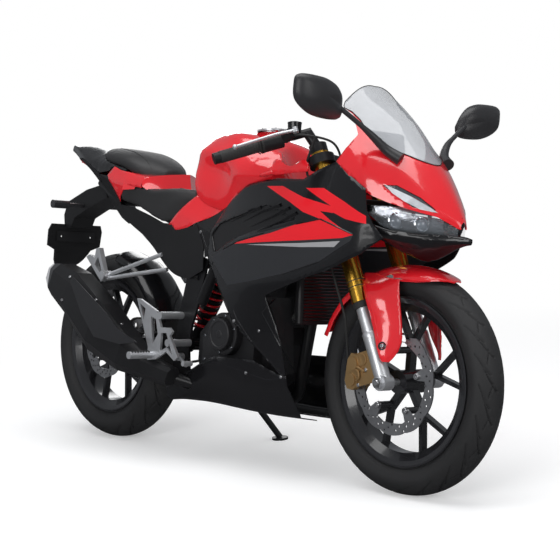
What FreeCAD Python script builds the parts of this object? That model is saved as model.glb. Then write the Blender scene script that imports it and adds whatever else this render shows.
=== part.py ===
import FreeCAD, Part
import math
import os

os.makedirs("parts", exist_ok=True)
doc = FreeCAD.newDocument("sport_motorcycle")
V = FreeCAD.Vector
Placement = FreeCAD.Placement
Rotation = FreeCAD.Rotation

# Every size of the machine, in millimetres and degrees.
# The machine is drawn upright: +X forward, +Y to its left, +Z up, rear axle over X = 0.
TABLE = [
    # wheels and tyres
    ("wheelbase", 1311, "rear axle to front axle"),
    ("front_tyre_radius", 296, "100/80-17"),
    ("front_tyre_width", 100, ""),
    ("rear_tyre_radius", 307, "130/70-17"),
    ("rear_tyre_width", 130, ""),
    ("rim_radius", 222, "outside of the rim flange"),
    ("rim_wall", 5, ""),
    ("rim_well_depth", 32, "flange down to the well"),
    ("front_rim_width", 76, ""),
    ("rear_rim_width", 98, ""),
    ("tyre_wall", 9, ""),
    ("bead_gap", 0.4, "between bead and flange"),
    ("hub_radius", 31, ""),
    ("hub_length", 92, ""),
    ("axle_radius", 8.5, ""),
    ("axle_gap", 0.4, "between axle and hub bore"),
    ("spoke_count", 5, "forked spokes"),
    ("spoke_width", 17, "at the hub"),
    ("spoke_tip_width", 11, "at the rim"),
    ("spoke_thickness", 24, "across the wheel"),
    ("spoke_fork_radius", 98, "where a spoke splits"),
    ("spoke_fork_angle", 15.5, "half the angle between two branches"),
    ("spoke_turn", 14.5, "first spoke above the horizon"),
    # brakes
    ("front_disc_radius", 138, ""),
    ("rear_disc_radius", 110, ""),
    ("disc_thickness", 4, ""),
    ("disc_wave_count", 10, "lobes round the edge"),
    ("disc_wave_depth", 6, ""),
    ("disc_hole_radius", 3.2, ""),
    ("disc_hole_count", 30, ""),
    ("disc_ear_count", 5, ""),
    ("disc_ear_radius", 12, ""),
    ("disc_offset", 60, "disc plane to the wheel's middle"),
    ("caliper_gap", 5, "either side of the disc"),
    ("caliper_length", 96, ""),
    ("caliper_depth", 46, "radial"),
    ("caliper_width", 52, "across the disc"),
    ("caliper_angle", 172, "position round the front axle"),
    ("caliper_circle", 128, "radius of its middle from the axle"),
    ("rear_caliper_length", 80, ""),
    # steering head and fork
    ("caster_angle", 24, "steering axis back from vertical"),
    ("fork_offset", 39.3, "tubes ahead of the steering axis"),
    ("fork_spacing", 194, "between the two tubes"),
    ("fork_tube_radius", 24.5, "upper tube"),
    ("fork_leg_radius", 18.5, "lower leg"),
    ("fork_tube_wall", 3, ""),
    ("fork_tube_low", 221, "along the axis from the front axle"),
    ("fork_tube_top", 655, ""),
    ("fork_ring_width", 5, ""),
    ("fork_ring_step", 1.5, ""),
    ("axle_lug_height", 120, ""),
    ("axle_lug_width", 36, ""),
    ("yoke_thickness", 26, ""),
    ("top_yoke_level", 632, "middle of the top clamp along the axis"),
    ("low_yoke_level", 440, "middle of the lower clamp"),
    ("yoke_wall", 12, "round a tube"),
    ("stem_radius", 13, ""),
    ("head_tube_radius", 27, ""),
    ("head_bearing_gap", 0.4, ""),
    # handlebars
    ("bar_radius", 11, ""),
    ("grip_radius", 16.5, ""),
    ("grip_length", 122, ""),
    ("bar_end_length", 18, ""),
    ("bar_rise", 88, "clip-on bar above the top clamp"),
    ("bar_half_width", 347, "centre line to bar end"),
    ("bar_inner_half_width", 118, ""),
    ("bar_sweep", 118, "bar end behind its root"),
    ("bar_drop", 86, "bar end below its root"),
    ("lever_length", 172, ""),
    ("lever_ahead", 52, "lever ahead of the grip"),
    ("lever_thickness", 9, ""),
    # front mudguard
    ("fender_gap", 7.5, "over the tyre"),
    ("fender_wall", 2.5, ""),
    ("fender_half_width", 66, ""),
    # frame and engine
    ("spar_radius", 17, ""),
    ("rail_radius", 11, ""),
    ("plate_thickness", 8, "pivot plates"),
    ("pivot_x", 490, "swingarm pivot"),
    ("pivot_z", 340, ""),
    ("pivot_radius", 9, ""),
    ("frame_half_width", 116, "outside of the pivot plates"),
    ("arm_height", 46, "swingarm arm"),
    ("arm_width", 20, ""),
    ("arm_inner_half_width", 86, ""),
    ("chain_half_offset", 76, "chain line to the middle"),
    ("chain_pitch", 12.7, ""),
    ("chain_width", 14, ""),
    ("rear_pitch_radius", 91, ""),
    ("front_pitch_radius", 30, ""),
    ("countershaft_x", 560, ""),
    ("countershaft_z", 345, ""),
    ("sprocket_gap", 1, "between sprocket and chain"),
    ("sprocket_thickness", 6, ""),
    ("clutch_radius", 62, ""),
    ("clutch_depth", 40, ""),
    ("panel_wall", 3, "moulded panels"),
    ("seam", 0.3, "gap between neighbouring panels"),
    ("lens_wall", 3, ""),
    ("vent_depth", 9, "side outlets, behind the skin"),
    ("guard_tab", 12, "mounting tabs of the mudguards"),
    ("boss_radius", 9, "disc bosses on the spokes"),
    ("rear_guard_gap", 10, "hugger over the rear tyre"),
    ("rear_guard_half_width", 74, ""),
    ("shock_radius", 21, ""),
    ("shock_spring_radius", 29, ""),
    ("radiator_depth", 20, ""),
    ("radiator_half_width", 118, ""),
    ("stay_radius", 7, "tubes that carry the cowl"),
    ("hose_radius", 3.5, "brake hose"),
    ("hose_bend", 45, ""),
    ("shield_wall", 3, "silencer guard"),
    ("shield_gap", 6, "off the silencer"),
    ("overrun", 20, "how far a cutting tool passes a face"),
    # stance
    ("lean_angle", 7.5, "towards the side stand"),
    ("rest_lift", 0.6, "rounded tread under the lean"),
    ("row_centre_x", 615.5, "middle of the whole machine"),
    ("row_centre_y", 135.6, ""),
    ("stand_pivot_x", 470, ""),
    ("stand_pivot_y", 136, ""),
    ("stand_pivot_z", 212, ""),
    ("stand_foot_x", 528, ""),
    ("stand_foot_y", 262, ""),
    ("stand_leg_radius", 10, ""),
    ("stand_eye_radius", 15, "stand hinge"),
    ("stand_eye_half_length", 12, ""),
    ("stand_pin_radius", 5, ""),
    ("stand_boss_radius", 11, ""),
    ("stand_play", 2.5, "gap beside the eye"),
    ("stand_foot_radius", 26, ""),
    ("stand_foot_thickness", 7, ""),
    # fuel tank and its cap
    ("tank_rear", 500, ""),
    ("tank_base", 690, ""),
    ("tank_length", 500, ""),
    ("tank_height", 296, ""),
    ("tank_half_width", 150, ""),
    ("cap_x", 735, ""),
    ("cap_level", 977, "rim of the filler neck"),
    ("cap_radius", 32, ""),
    ("cap_thickness", 9, ""),
    ("cap_hinge_radius", 4, ""),
    ("cap_hinge_length", 22, ""),
    # seats and tail
    ("seat_rear", 107, "rider's seat"),
    ("seat_base", 709, ""),
    ("seat_length", 430, ""),
    ("seat_height", 126, ""),
    ("seat_half_width", 128, ""),
    ("pillion_rear", 110, "passenger's seat"),
    ("pillion_base", 850, ""),
    ("pillion_length", 306, ""),
    ("pillion_height", 90, ""),
    ("pillion_half_width", 104, ""),
    ("tail_rear", -300, ""),
    ("tail_base", 530, ""),
    ("tail_length", 900, ""),
    ("tail_height", 465, ""),
    ("tail_half_width", 132, ""),
    # fairings
    ("fairing_rear", 540, ""),
    ("fairing_base", 160, ""),
    ("fairing_length", 860, ""),
    ("fairing_height", 720, ""),
    ("fairing_half_width", 208, ""),
    ("cowl_rear", 1130, ""),
    ("cowl_base", 590, ""),
    ("cowl_length", 376, ""),
    ("cowl_height", 486, ""),
    ("cowl_half_width", 170, ""),
    ("fender_rear", 990, ""),
    ("fender_base", 340, ""),
    ("fender_length", 480, ""),
    ("fender_height", 260, ""),
    ("fender_half_reach", 125, "outside of the leg covers"),
    # exhaust
    ("exhaust_rear", -165, ""),
    ("exhaust_base", 160, ""),
    ("exhaust_length", 1080, ""),
    ("exhaust_height", 440, ""),
    ("exhaust_half_width", 240, ""),
    ("exhaust_pipe_radius", 17, ""),
    ("exhaust_wall", 3, ""),
    # chassis outline used for tubes, plates and the engine
    ("chassis_rear", -380, ""),
    ("chassis_base", 150, ""),
    ("chassis_length", 1500, ""),
    ("chassis_height", 850, ""),
    ("chassis_half_width", 240, ""),
    ("engine_depth", 150, "right side of the engine to the middle"),
    # mirrors
    ("mirror_rear", 1230, ""),
    ("mirror_base", 860, ""),
    ("mirror_length", 100, ""),
    ("mirror_height", 200, ""),
    ("mirror_half_width", 388, ""),
    ("mirror_thickness", 26, ""),
    ("mirror_stem_radius", 8, ""),
    ("indicator_stalk_radius", 7, ""),
    ("indicator_length", 62, ""),
    ("peg_radius", 11, ""),
    ("peg_length", 84, ""),
    ("plate_bore_radius", 3.5, "number plate screws"),
    ("plate_bore_spacing", 120, ""),
    ("plate_x", -297.5, "number plate bracket"),
    ("plate_z", 668.5, ""),
    ("plate_depth", 6, ""),
]

sheet = doc.addObject("Spreadsheet::Sheet", "sizes")
for row, (name, value, note) in enumerate(TABLE, start=1):
    sheet.set("A%d" % row, name)
    sheet.set("B%d" % row, str(value))
    sheet.set("C%d" % row, note)
    sheet.setAlias("B%d" % row, name)
doc.recompute()


class Sizes:
    """Reads a named size back from the spreadsheet."""

    def __getattr__(self, name):
        return float(sheet.get(name))


size = Sizes()


class Region:
    """A named box in the side view that shares of a length and a height refer to."""

    def __init__(self, name, half=None):
        self.x = getattr(size, name + "_rear")
        self.z = getattr(size, name + "_base")
        self.length = getattr(size, name + "_length")
        self.height = getattr(size, name + "_height")
        self.half = getattr(size, half or name + "_half_width")

    def side(self, shares, y=0.0):
        return [V(self.x + a * self.length, y, self.z + b * self.height) for a, b in shares]

    def points(self, shares):
        return [
            V(self.x + a * self.length, b * self.half, self.z + c * self.height)
            for a, b, c in shares
        ]

    def levels(self, rows):
        """Plan outlines, each at a share of the height."""
        made = []
        for row in rows:
            z = self.z + row[0] * self.height
            made.append([V(self.x + a * self.length, b * self.half, z) for a, b in row[1:]])
        return made

    def sections(self, rows):
        made = []
        for row in rows:
            x = self.x + row[0] * self.length
            made.append([V(x, b * self.half, self.z + c * self.height) for b, c in row[1:]])
        return made


tank = Region("tank")
seat = Region("seat")
pillion = Region("pillion")
tail = Region("tail")
fairing = Region("fairing")
cowl = Region("cowl")
guard = Region("fender", "fender_half_reach")
exhaust = Region("exhaust")
chassis = Region("chassis")
mirror = Region("mirror")

axis_x = V(1, 0, 0)
axis_y = V(0, 1, 0)
axis_z = V(0, 0, 1)
caster = math.radians(size.caster_angle)
front_axle = V(size.wheelbase, 0, size.front_tyre_radius)
rear_axle = V(0, 0, size.rear_tyre_radius)
steer_up = V(-math.sin(caster), 0, math.cos(caster))
steer_ahead = V(math.cos(caster), 0, math.sin(caster))
steer_foot = front_axle - steer_ahead * size.fork_offset

lean = Placement(
    V(-size.row_centre_x, -size.row_centre_y, size.rest_lift),
    Rotation(axis_x, -size.lean_angle),
)


def steer_point(ahead, left, up):
    """A point given along the steering axis, ahead of it and to its left."""
    return steer_foot + steer_ahead * ahead + axis_y * left + steer_up * up


def cylinder(start, direction, radius, length):
    return Part.makeCylinder(radius, length, start, direction)


def bar(start, end, radius):
    return Part.makeCylinder(radius, (end - start).Length, start, end - start)


def tube_along(points, radius, bend):
    """Sweeps a round section along straight runs joined by bends."""
    edges = []
    last = points[0]
    for before, corner, after in zip(points, points[1:], points[2:]):
        back = (before - corner).normalize()
        ahead = (after - corner).normalize()
        half = back.getAngle(ahead) / 2
        reach = bend / math.tan(half)
        middle = (back + ahead).normalize()
        centre = corner + middle * (bend / math.sin(half))
        enter = corner + back * reach
        leave = corner + ahead * reach
        edges.append(Part.makeLine(last, enter))
        edges.append(Part.Arc(enter, centre - middle * bend, leave).toShape())
        last = leave
    edges.append(Part.makeLine(last, points[-1]))
    route = Part.Wire(edges)
    ring = Part.Wire(Part.makeCircle(radius, points[0], points[1] - points[0]))
    return route.makePipeShell([ring], True, True)


def prism(points, start, depth):
    """Extrudes a side outline across the machine, from one Y to another."""
    face = Part.Face(Part.makePolygon([V(p.x, start, p.z) for p in points + points[:1]]))
    return face.extrude(V(0, depth, 0))


def slab(points, direction):
    """Extrudes any flat outline along a vector."""
    return Part.Face(Part.makePolygon(points + points[:1])).extrude(direction)


def inset(points, wall, normal_to):
    """The same open outline a wall's thickness further in, in the plane with that normal."""
    moved = []
    for i, p in enumerate(points):
        before = points[max(i - 1, 0)]
        after = points[min(i + 1, len(points) - 1)]
        normals = []
        for a, b in ((before, p), (p, after)):
            run = b - a
            if run.Length > 0:
                normals.append(normal_to.cross(run).normalize())
        normal = normals[0] + normals[-1]
        normal.normalize()
        lean_in = max(normal.dot(normals[0]), math.cos(math.pi / 3))
        moved.append(p - normal * (wall / lean_in))
    return moved


def spline_wire(points, creases):
    """Joins points by smooth curves that break only at the creases, closed by a last edge."""
    edges = []
    stops = sorted(set(creases) | {0, len(points) - 1})
    for a, b in zip(stops, stops[1:]):
        run = points[a : b + 1]
        if len(run) == 2:
            edges.append(Part.makeLine(run[0], run[1]))
        else:
            curve = Part.BSplineCurve()
            curve.interpolate(run)
            edges.append(curve.toShape())
    edges.append(Part.makeLine(points[-1], points[0]))
    return Part.Wire(edges)


def shell_loft(sections, wall, creases, normal_to=axis_x):
    """A panel of even wall through open sections that share a number of points."""
    wires = []
    for points in sections:
        count = len(points)
        inner = inset(points, wall, normal_to)
        loop = points + inner[::-1]
        marks = list(creases) + [count - 1, count] + [2 * count - 1 - c for c in creases]
        wires.append(spline_wire(loop, marks))
    return Part.makeLoft(wires, True, False)


def solid_loft(sections, creases):
    """A closed body through sections whose last edge closes the outline."""
    return Part.makeLoft([spline_wire(points, creases) for points in sections], True, False)


def both_sides(points):
    """A half section from its middle to its edge, continued over to the other side."""
    return [V(p.x, -p.y, p.z) for p in points[:0:-1]] + points


def across(shape):
    """The same piece on the other side of the machine."""
    return shape.mirror(V(0, 0, 0), axis_y)


def whole(*shapes):
    """Fuses pieces that belong to one moulding or casting."""
    made = shapes[0]
    if len(shapes) > 1:
        made = shapes[0].multiFuse(list(shapes[1:]))
    return made


def together(*shapes):
    """Like pieces of one body, kept as separate solids in one sub-part."""
    return Part.makeCompound([solid for shape in shapes for solid in shape.Solids])


def with_mirror(shape):
    return Part.makeCompound([shape, across(shape)])


pieces = []


def piece(name, shape):
    """Keeps a shape as a sub-part of its own, set down leaning on its stand."""
    made = doc.addObject("Part::Feature", name)
    made.Label = name
    made.Shape = shape
    made.Placement = lean * shape.Placement
    pieces.append(made)
    return made


# wheels


def tyre(radius, width, rim_width):
    """The carcass, revolved about the wheel's axle."""
    low = size.rim_radius - size.rim_wall
    half = width / 2
    tall = radius - low
    bead = rim_width / 2 - size.rim_wall - size.bead_gap
    wall = size.tyre_wall
    outer = [(bead, low), (bead, low + 0.1 * tall), (half, low + 0.48 * tall), (0.95 * half, low + 0.64 * tall)]
    inner = [(bead - wall, low), (half - wall, low + 0.48 * tall), (0.95 * half - wall, low + 0.62 * tall)]
    out = [V(0, y, z) for y, z in outer]
    into = [V(0, y, z) for y, z in inner]
    flip = [V(0, -p.y, p.z) for p in out]
    flip_in = [V(0, -p.y, p.z) for p in into]
    crown = V(0, 0, radius)
    roof = V(0, 0, radius - 1.2 * wall)
    edges = [
        Part.makeLine(out[0], out[1]), Part.Arc(out[1], out[2], out[3]).toShape(),
        Part.Arc(out[3], crown, flip[3]).toShape(), Part.Arc(flip[3], flip[2], flip[1]).toShape(),
        Part.makeLine(flip[1], flip[0]), Part.makeLine(flip[0], flip_in[0]),
        Part.Arc(flip_in[0], flip_in[1], flip_in[2]).toShape(),
        Part.Arc(flip_in[2], roof, into[2]).toShape(), Part.Arc(into[2], into[1], into[0]).toShape(),
        Part.makeLine(into[0], out[0]),
    ]
    section = Part.Face(Part.Wire(edges))
    return section.revolve(V(0, 0, 0), axis_y, 360)


def rim(width, hub_length, boss_circle, boss_share):
    """Cast wheel: well and flanges, hub, forked spokes and the bosses that carry the disc."""
    half = width / 2
    outer = size.rim_radius
    well = outer - size.rim_well_depth
    wall = size.rim_wall
    profile = [
        (half, outer), (half - wall, outer), (half - wall, outer - 2 * wall),
        (half - 4 * wall, outer - 2.4 * wall), (half - 5 * wall, well),
    ]
    top = [V(0, y, z) for y, z in profile]
    top += [V(0, -p.y, p.z) for p in reversed(top)]
    low = [
        V(0, -half, outer - wall), V(0, -half + 0.5 * wall, outer - 3.4 * wall),
        V(0, -half + 3.5 * wall, well - wall), V(0, half - 3.5 * wall, well - wall),
        V(0, half - 0.5 * wall, outer - 3.4 * wall), V(0, half, outer - wall),
    ]
    loop = top + low
    ring = Part.Face(Part.makePolygon(loop + loop[:1])).revolve(V(0, 0, 0), axis_y, 360)
    barrel = cylinder(V(0, -hub_length / 2, 0), axis_y, size.hub_radius, hub_length)
    thick = size.spoke_thickness / 2
    fork = size.spoke_fork_radius
    reach = well - wall / 2
    arms = []
    for number in range(int(size.spoke_count)):
        turn = math.radians(size.spoke_turn + number * 360 / size.spoke_count)
        stem = radial_bar(turn, turn, size.hub_radius / 2, fork, size.spoke_width, size.spoke_width, thick)
        arms.append(stem)
        for side in (-1, 1):
            split = turn + side * math.radians(size.spoke_fork_angle)
            arms.append(
                radial_bar(turn, split, fork * 0.96, reach, size.spoke_width * 0.7,
                           size.spoke_tip_width, thick * 0.85)
            )
        spot = V(math.cos(turn), 0, math.sin(turn)) * (boss_circle * boss_share)
        reach_out = size.disc_offset - size.disc_thickness / 2 - size.seam
        arms.append(cylinder(V(spot.x, -reach_out, spot.z), axis_y, size.boss_radius, reach_out))
    body = ring.multiFuse([barrel] + arms)
    bore = cylinder(V(0, -hub_length, 0), axis_y, size.axle_radius + size.axle_gap, 2 * hub_length)
    return body.cut(bore)


def radial_bar(turn_in, turn_out, radius_in, radius_out, width_in, width_out, thick):
    """One flat bar of a wheel, from one radius and angle to another."""
    a = V(math.cos(turn_in), 0, math.sin(turn_in)) * radius_in
    b = V(math.cos(turn_out), 0, math.sin(turn_out)) * radius_out
    side = (b - a).cross(axis_y).normalize()
    corners = [
        a + side * (width_in / 2), b + side * (width_out / 2),
        b - side * (width_out / 2), a - side * (width_in / 2),
    ]
    return slab([p - axis_y * thick for p in corners], axis_y * (2 * thick))


front_ear_share = 0.6
rear_ear_share = 0.55


def disc(radius, ear_circle_share, inner_share):
    """Brake disc with a waved edge, drilled rings and mounting ears."""
    low = radius - size.disc_wave_depth
    waves = int(size.disc_wave_count)
    edges = []
    for number in range(waves):
        angles = [2 * math.pi * (number + part) / waves for part in (0.0, 0.5, 1.0)]
        spots = [
            V(math.cos(angle) * reach, 0, math.sin(angle) * reach)
            for angle, reach in zip(angles, (low, radius, low))
        ]
        edges.append(Part.Arc(*spots).toShape())
    plate = Part.Face(Part.Wire(edges)).extrude(axis_y * size.disc_thickness)
    inner = radius * inner_share
    hole = cylinder(V(0, 0, 0), axis_y, inner, size.disc_thickness)
    plate = plate.cut(hole)
    ears = []
    for number in range(int(size.disc_ear_count)):
        angle = math.radians(size.spoke_turn + number * 360 / size.disc_ear_count)
        ray = V(math.cos(angle), 0, math.sin(angle))
        across_ray = ray.cross(axis_y)
        ear = size.disc_ear_radius
        root = ray * (inner + size.disc_wave_depth)
        tip = ray * (radius * ear_circle_share)
        corners = [root + across_ray * ear * 1.5, tip + across_ray * ear,
                   tip - across_ray * ear, root - across_ray * ear * 1.5]
        ears.append(slab(corners, axis_y * size.disc_thickness))
        ears.append(cylinder(tip, axis_y, ear, size.disc_thickness))
    plate = plate.multiFuse(ears)
    holes = []
    count = int(size.disc_hole_count)
    middle = (inner + low) / 2
    swing = (low - inner) / 4
    for number in range(count):
        angle = 2 * math.pi * number / count
        reach = middle + swing * (-1, 0, 1)[number % 3]
        spot = V(math.cos(angle), 0, math.sin(angle)) * reach
        holes.append(cylinder(spot, axis_y, size.disc_hole_radius, size.disc_thickness))
    plate = plate.cut(Part.makeCompound(holes))
    plate.translate(V(0, -size.disc_offset - size.disc_thickness / 2, 0))
    return plate


def at(shape, centre):
    moved = shape.copy()
    moved.translate(centre)
    return moved


piece("front_tyre", at(tyre(size.front_tyre_radius, size.front_tyre_width, size.front_rim_width), front_axle))


def disc_room(radius, ear_share):
    """The space a turning disc and its ears sweep, with the caliper's gap on each face."""
    half = size.disc_thickness / 2 + size.caliper_gap
    start = axis_y * (-size.disc_offset - half)
    outer = cylinder(start, axis_y, radius + 3 * size.caliper_gap, 2 * half)
    return outer.cut(cylinder(start, axis_y, radius * ear_share * 0.75, 2 * half))


piece("front_rim", at(rim(size.front_rim_width, size.hub_length, size.front_disc_radius, front_ear_share), front_axle))
piece("front_disc", at(disc(size.front_disc_radius, front_ear_share, 0.745), front_axle))
piece("rear_tyre", at(tyre(size.rear_tyre_radius, size.rear_tyre_width, size.rear_rim_width), rear_axle))
piece("rear_rim", at(rim(size.rear_rim_width, size.hub_length, size.rear_disc_radius, rear_ear_share), rear_axle))
piece("rear_disc", at(disc(size.rear_disc_radius, rear_ear_share, 0.7), rear_axle))

# steering: clamps, fork, bars


def steer_cylinder(ahead, left, low, high, radius):
    start = steer_point(ahead, left, low)
    return Part.makeCylinder(radius, high - low, start, steer_up)


def yoke(level, stem_radius):
    """A clamp plate that holds both tubes and the stem."""
    low = level - size.yoke_thickness / 2
    high = level + size.yoke_thickness / 2
    half = size.fork_spacing / 2
    eye = size.fork_tube_radius + size.yoke_wall
    neck = size.stem_radius + size.yoke_wall
    ahead = size.fork_offset
    corners = [(-neck * 0.5, -neck * 0.7), (ahead - eye * 0.6, eye * 0.7 - half), (ahead + eye * 0.6, eye * 0.7 - half),
               (ahead + neck * 0.4, 0), (ahead + eye * 0.6, half - eye * 0.7), (ahead - eye * 0.6, half - eye * 0.7),
               (-neck * 0.5, neck * 0.7)]
    outline = [steer_point(p, q, low) for p, q in corners]
    web = slab(outline, steer_up * (high - low))
    eyes = [steer_cylinder(ahead, side * half, low, high, eye) for side in (-1, 1)]
    hub = steer_cylinder(0, 0, low, high, neck)
    bores = [steer_cylinder(ahead, side * half, low - size.overrun, high + size.overrun, size.fork_tube_radius)
             for side in (-1, 1)]
    return web.multiFuse(eyes + [hub]).cut(bores[0]).cut(bores[1])


half_spacing = size.fork_spacing / 2
stem = steer_cylinder(0, 0, size.low_yoke_level, size.top_yoke_level, size.stem_radius)
clamps = whole(yoke(size.low_yoke_level, size.stem_radius), yoke(size.top_yoke_level, size.stem_radius), stem)
piece("fork_clamps", clamps)

tubes = []
for side in (-1, 1):
    low = size.fork_tube_low
    profile_steps = [
        (0, size.fork_ring_width, 0), (size.fork_ring_width * 6, size.fork_ring_width * 7, 1),
        (size.fork_ring_width * 10, size.fork_ring_width * 11, 1),
    ]
    outer = steer_cylinder(size.fork_offset, side * half_spacing, low, size.fork_tube_top, size.fork_tube_radius)
    for start, stop, groove in profile_steps[1:]:
        band = steer_cylinder(size.fork_offset, side * half_spacing, low + start, low + stop, size.fork_tube_radius)
        core = steer_cylinder(size.fork_offset, side * half_spacing, low + start, low + stop,
                              size.fork_tube_radius - size.fork_ring_step)
        outer = outer.cut(band.cut(core))
    bore = steer_cylinder(size.fork_offset, side * half_spacing, low, size.top_yoke_level,
                          size.fork_leg_radius + size.seam)
    tubes.append(outer.cut(bore))
piece("fork_tubes", Part.makeCompound(tubes))

legs = []
axle_reach = half_spacing + size.axle_lug_width / 2
for side in (-1, 1):
    leg = steer_cylinder(size.fork_offset, side * half_spacing, 0, size.fork_tube_low + size.yoke_thickness * 2,
                         size.fork_leg_radius)
    lug = steer_cylinder(size.fork_offset, side * half_spacing, 0, size.axle_lug_height, size.axle_lug_width / 2 + size.fork_tube_wall)
    foot = cylinder(front_axle + axis_y * (side * half_spacing - size.axle_lug_width / 2), axis_y,
                    size.axle_lug_width / 2 + size.fork_tube_wall, size.axle_lug_width)
    legs.append(whole(leg, lug, foot))
axle = cylinder(front_axle - axis_y * axle_reach, axis_y, size.axle_radius, 2 * axle_reach)
nuts = [
    cylinder(front_axle + axis_y * (side * axle_reach - (size.bar_radius if side < 0 else 0)), axis_y,
             size.axle_radius * 1.7, size.bar_radius)
    for side in (-1, 1)
]
piece("fork_legs", whole(axle, *(legs + nuts)))

# clip-on bars: ring round the tube, riser and bar
bars = []
grips = []
controls = []
levers = []
bar_root_top = size.top_yoke_level + size.bar_rise
for side in (-1, 1):
    root = steer_point(size.fork_offset * 0.9, side * size.bar_inner_half_width, bar_root_top)
    end = V(root.x - size.bar_sweep, side * size.bar_half_width, root.z - size.bar_drop)
    run = (end - root).normalize()
    ring = steer_cylinder(size.fork_offset, side * half_spacing, size.fork_tube_top + size.seam,
                          size.fork_tube_top + size.seam + size.yoke_thickness, size.fork_tube_radius)
    riser_foot = steer_point(size.fork_offset, side * half_spacing, size.fork_tube_top + size.yoke_thickness * 0.5)
    riser = bar(riser_foot, root, size.bar_radius * 1.3)
    tube = bar(root - run * size.bar_radius, end, size.bar_radius)
    bars.append(whole(ring, riser, tube))
    grip_start = end - run * (size.grip_length + size.bar_end_length)
    grip = bar(grip_start, end - run * (size.bar_end_length + size.seam), size.grip_radius)
    flange = bar(grip_start, grip_start + run * size.fork_ring_width, size.grip_radius * 1.35)
    hollow = bar(root, end + run * size.bar_radius, size.bar_radius)
    grips.append(whole(grip, flange).cut(hollow))
    weight = bar(end - run * size.bar_end_length, end, size.grip_radius * 0.95)
    pod_end = grip_start - run * size.seam
    pod_start = pod_end - run * (size.grip_radius * 3.4)
    pod = bar(pod_start, pod_end, size.grip_radius * 1.3)
    perch = bar(pod_start + steer_ahead * size.bar_radius, pod_start + steer_ahead * (size.lever_ahead * 0.9), size.grip_radius * 0.95)
    controls.append(whole(pod, weight, perch).cut(hollow))
    start = pod_start + steer_ahead * (size.lever_ahead * 0.9 + 2 * size.seam + 1.1 * size.lever_thickness)
    knee = start + run * (size.lever_length * 0.35) + steer_ahead * (size.lever_ahead * 0.2)
    tip = start + run * size.lever_length
    blade = tube_along([start, knee, tip], size.lever_thickness / 2, size.lever_length * 0.3)
    knob = Part.makeSphere(size.lever_thickness * 0.8, tip)
    pivot = Part.makeCylinder(size.lever_thickness * 0.9, size.lever_thickness * 1.6,
                              start - steer_up * (size.lever_thickness * 0.8), steer_up)
    levers.append(whole(blade, knob, pivot))
piece("handlebars", Part.makeCompound(bars))
piece("grips", Part.makeCompound(grips))
piece("bar_controls", Part.makeCompound(controls))
piece("levers", Part.makeCompound(levers))

# front mudguard: a wrapped blade over the tyre with a leg cover on each side


def wrapped_guard(axle, radius, half_width, stations):
    """A blade bent round a wheel, from stations of angle, width share and crown share."""
    loops = []
    for angle, width_share, crown_share in stations:
        turn = math.radians(angle)
        ray = V(math.cos(turn), 0, math.sin(turn))
        half = half_width * width_share
        drop = half_width * crown_share
        outline_shares = [(0.0, 0.0), (0.45, 0.12), (0.8, 0.5), (1.0, 1.0), (1.0, 1.5)]
        right = [(half * across_share, -drop * down_share) for across_share, down_share in outline_shares]
        outer = [(-p, q) for p, q in right[:0:-1]] + right
        count = len(outer)
        inner = [(p * (1 - size.fender_wall / half), q - size.fender_wall) for p, q in outer]
        ring = outer + inner[::-1]
        points = [axle + ray * (radius + size.fender_wall + q) + axis_y * p for p, q in ring]
        loops.append(spline_wire(points, [1, count - 2, count - 1, count, count + 1, 2 * count - 2]))
    return Part.makeLoft(loops, True, True)


front_guard_shares = [(60, 0.2, 0.03), (62, 0.42, 0.05), (65, 0.63, 0.12), (70, 0.82, 0.25), (76, 0.93, 0.36),
                      (84, 1.0, 0.42), (93, 1.0, 0.42), (102, 1.0, 0.41), (112, 1.0, 0.385), (123, 0.98, 0.35),
                      (135, 0.96, 0.32), (147, 0.93, 0.31), (158, 0.9, 0.3)]
blade = wrapped_guard(front_axle, size.front_tyre_radius + size.fender_gap, size.fender_half_width, front_guard_shares)
cover_rows = [
    (0.912, (0.421, -0.464), (0.49, -0.504), (0.567, -0.504), (0.692, -0.464)),
    (0.846, (0.463, -0.672), (0.517, -0.736), (0.596, -0.688), (0.7, -0.544)),
    (0.769, (0.504, -0.832), (0.542, -0.896), (0.625, -0.8), (0.708, -0.576)),
    (0.462, (0.579, -0.88), (0.608, -0.92), (0.677, -0.832), (0.74, -0.608)),
    (0.212, (0.629, -0.896), (0.65, -0.92), (0.698, -0.832), (0.744, -0.624)),
    (0.038, (0.671, -0.88), (0.679, -0.888), (0.698, -0.848), (0.708, -0.8)),
]
cover = shell_loft(guard.levels(cover_rows), -size.fender_wall, [1, 2], axis_z)
tab_line = steer_point(size.fork_offset, -half_spacing, size.axle_lug_height * 0.9)
tab = cylinder(tab_line, axis_x, size.guard_tab / 2, size.fork_leg_radius + 2 * size.guard_tab)
tab = tab.cut(Part.makeCompound(legs)).cut(Part.makeCompound(tubes))
bridge_line = steer_point(size.fork_offset, -size.fork_spacing / 2, size.fork_tube_low + size.fork_tube_radius * 1.8)
strap = cylinder(bridge_line, axis_y, size.guard_tab / 2, half_spacing - size.fender_half_width + size.fender_wall)
strap = strap.cut(Part.makeCompound(tubes)).cut(Part.makeCompound(legs))
guard_shape = whole(blade, cover, across(cover), tab, across(tab), strap, across(strap))
for leg in legs + tubes:
    guard_shape = guard_shape.cut(leg)
guard_shape = max(guard_shape.Solids, key=lambda one: one.Volume)
piece("front_fender", guard_shape)

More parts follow.
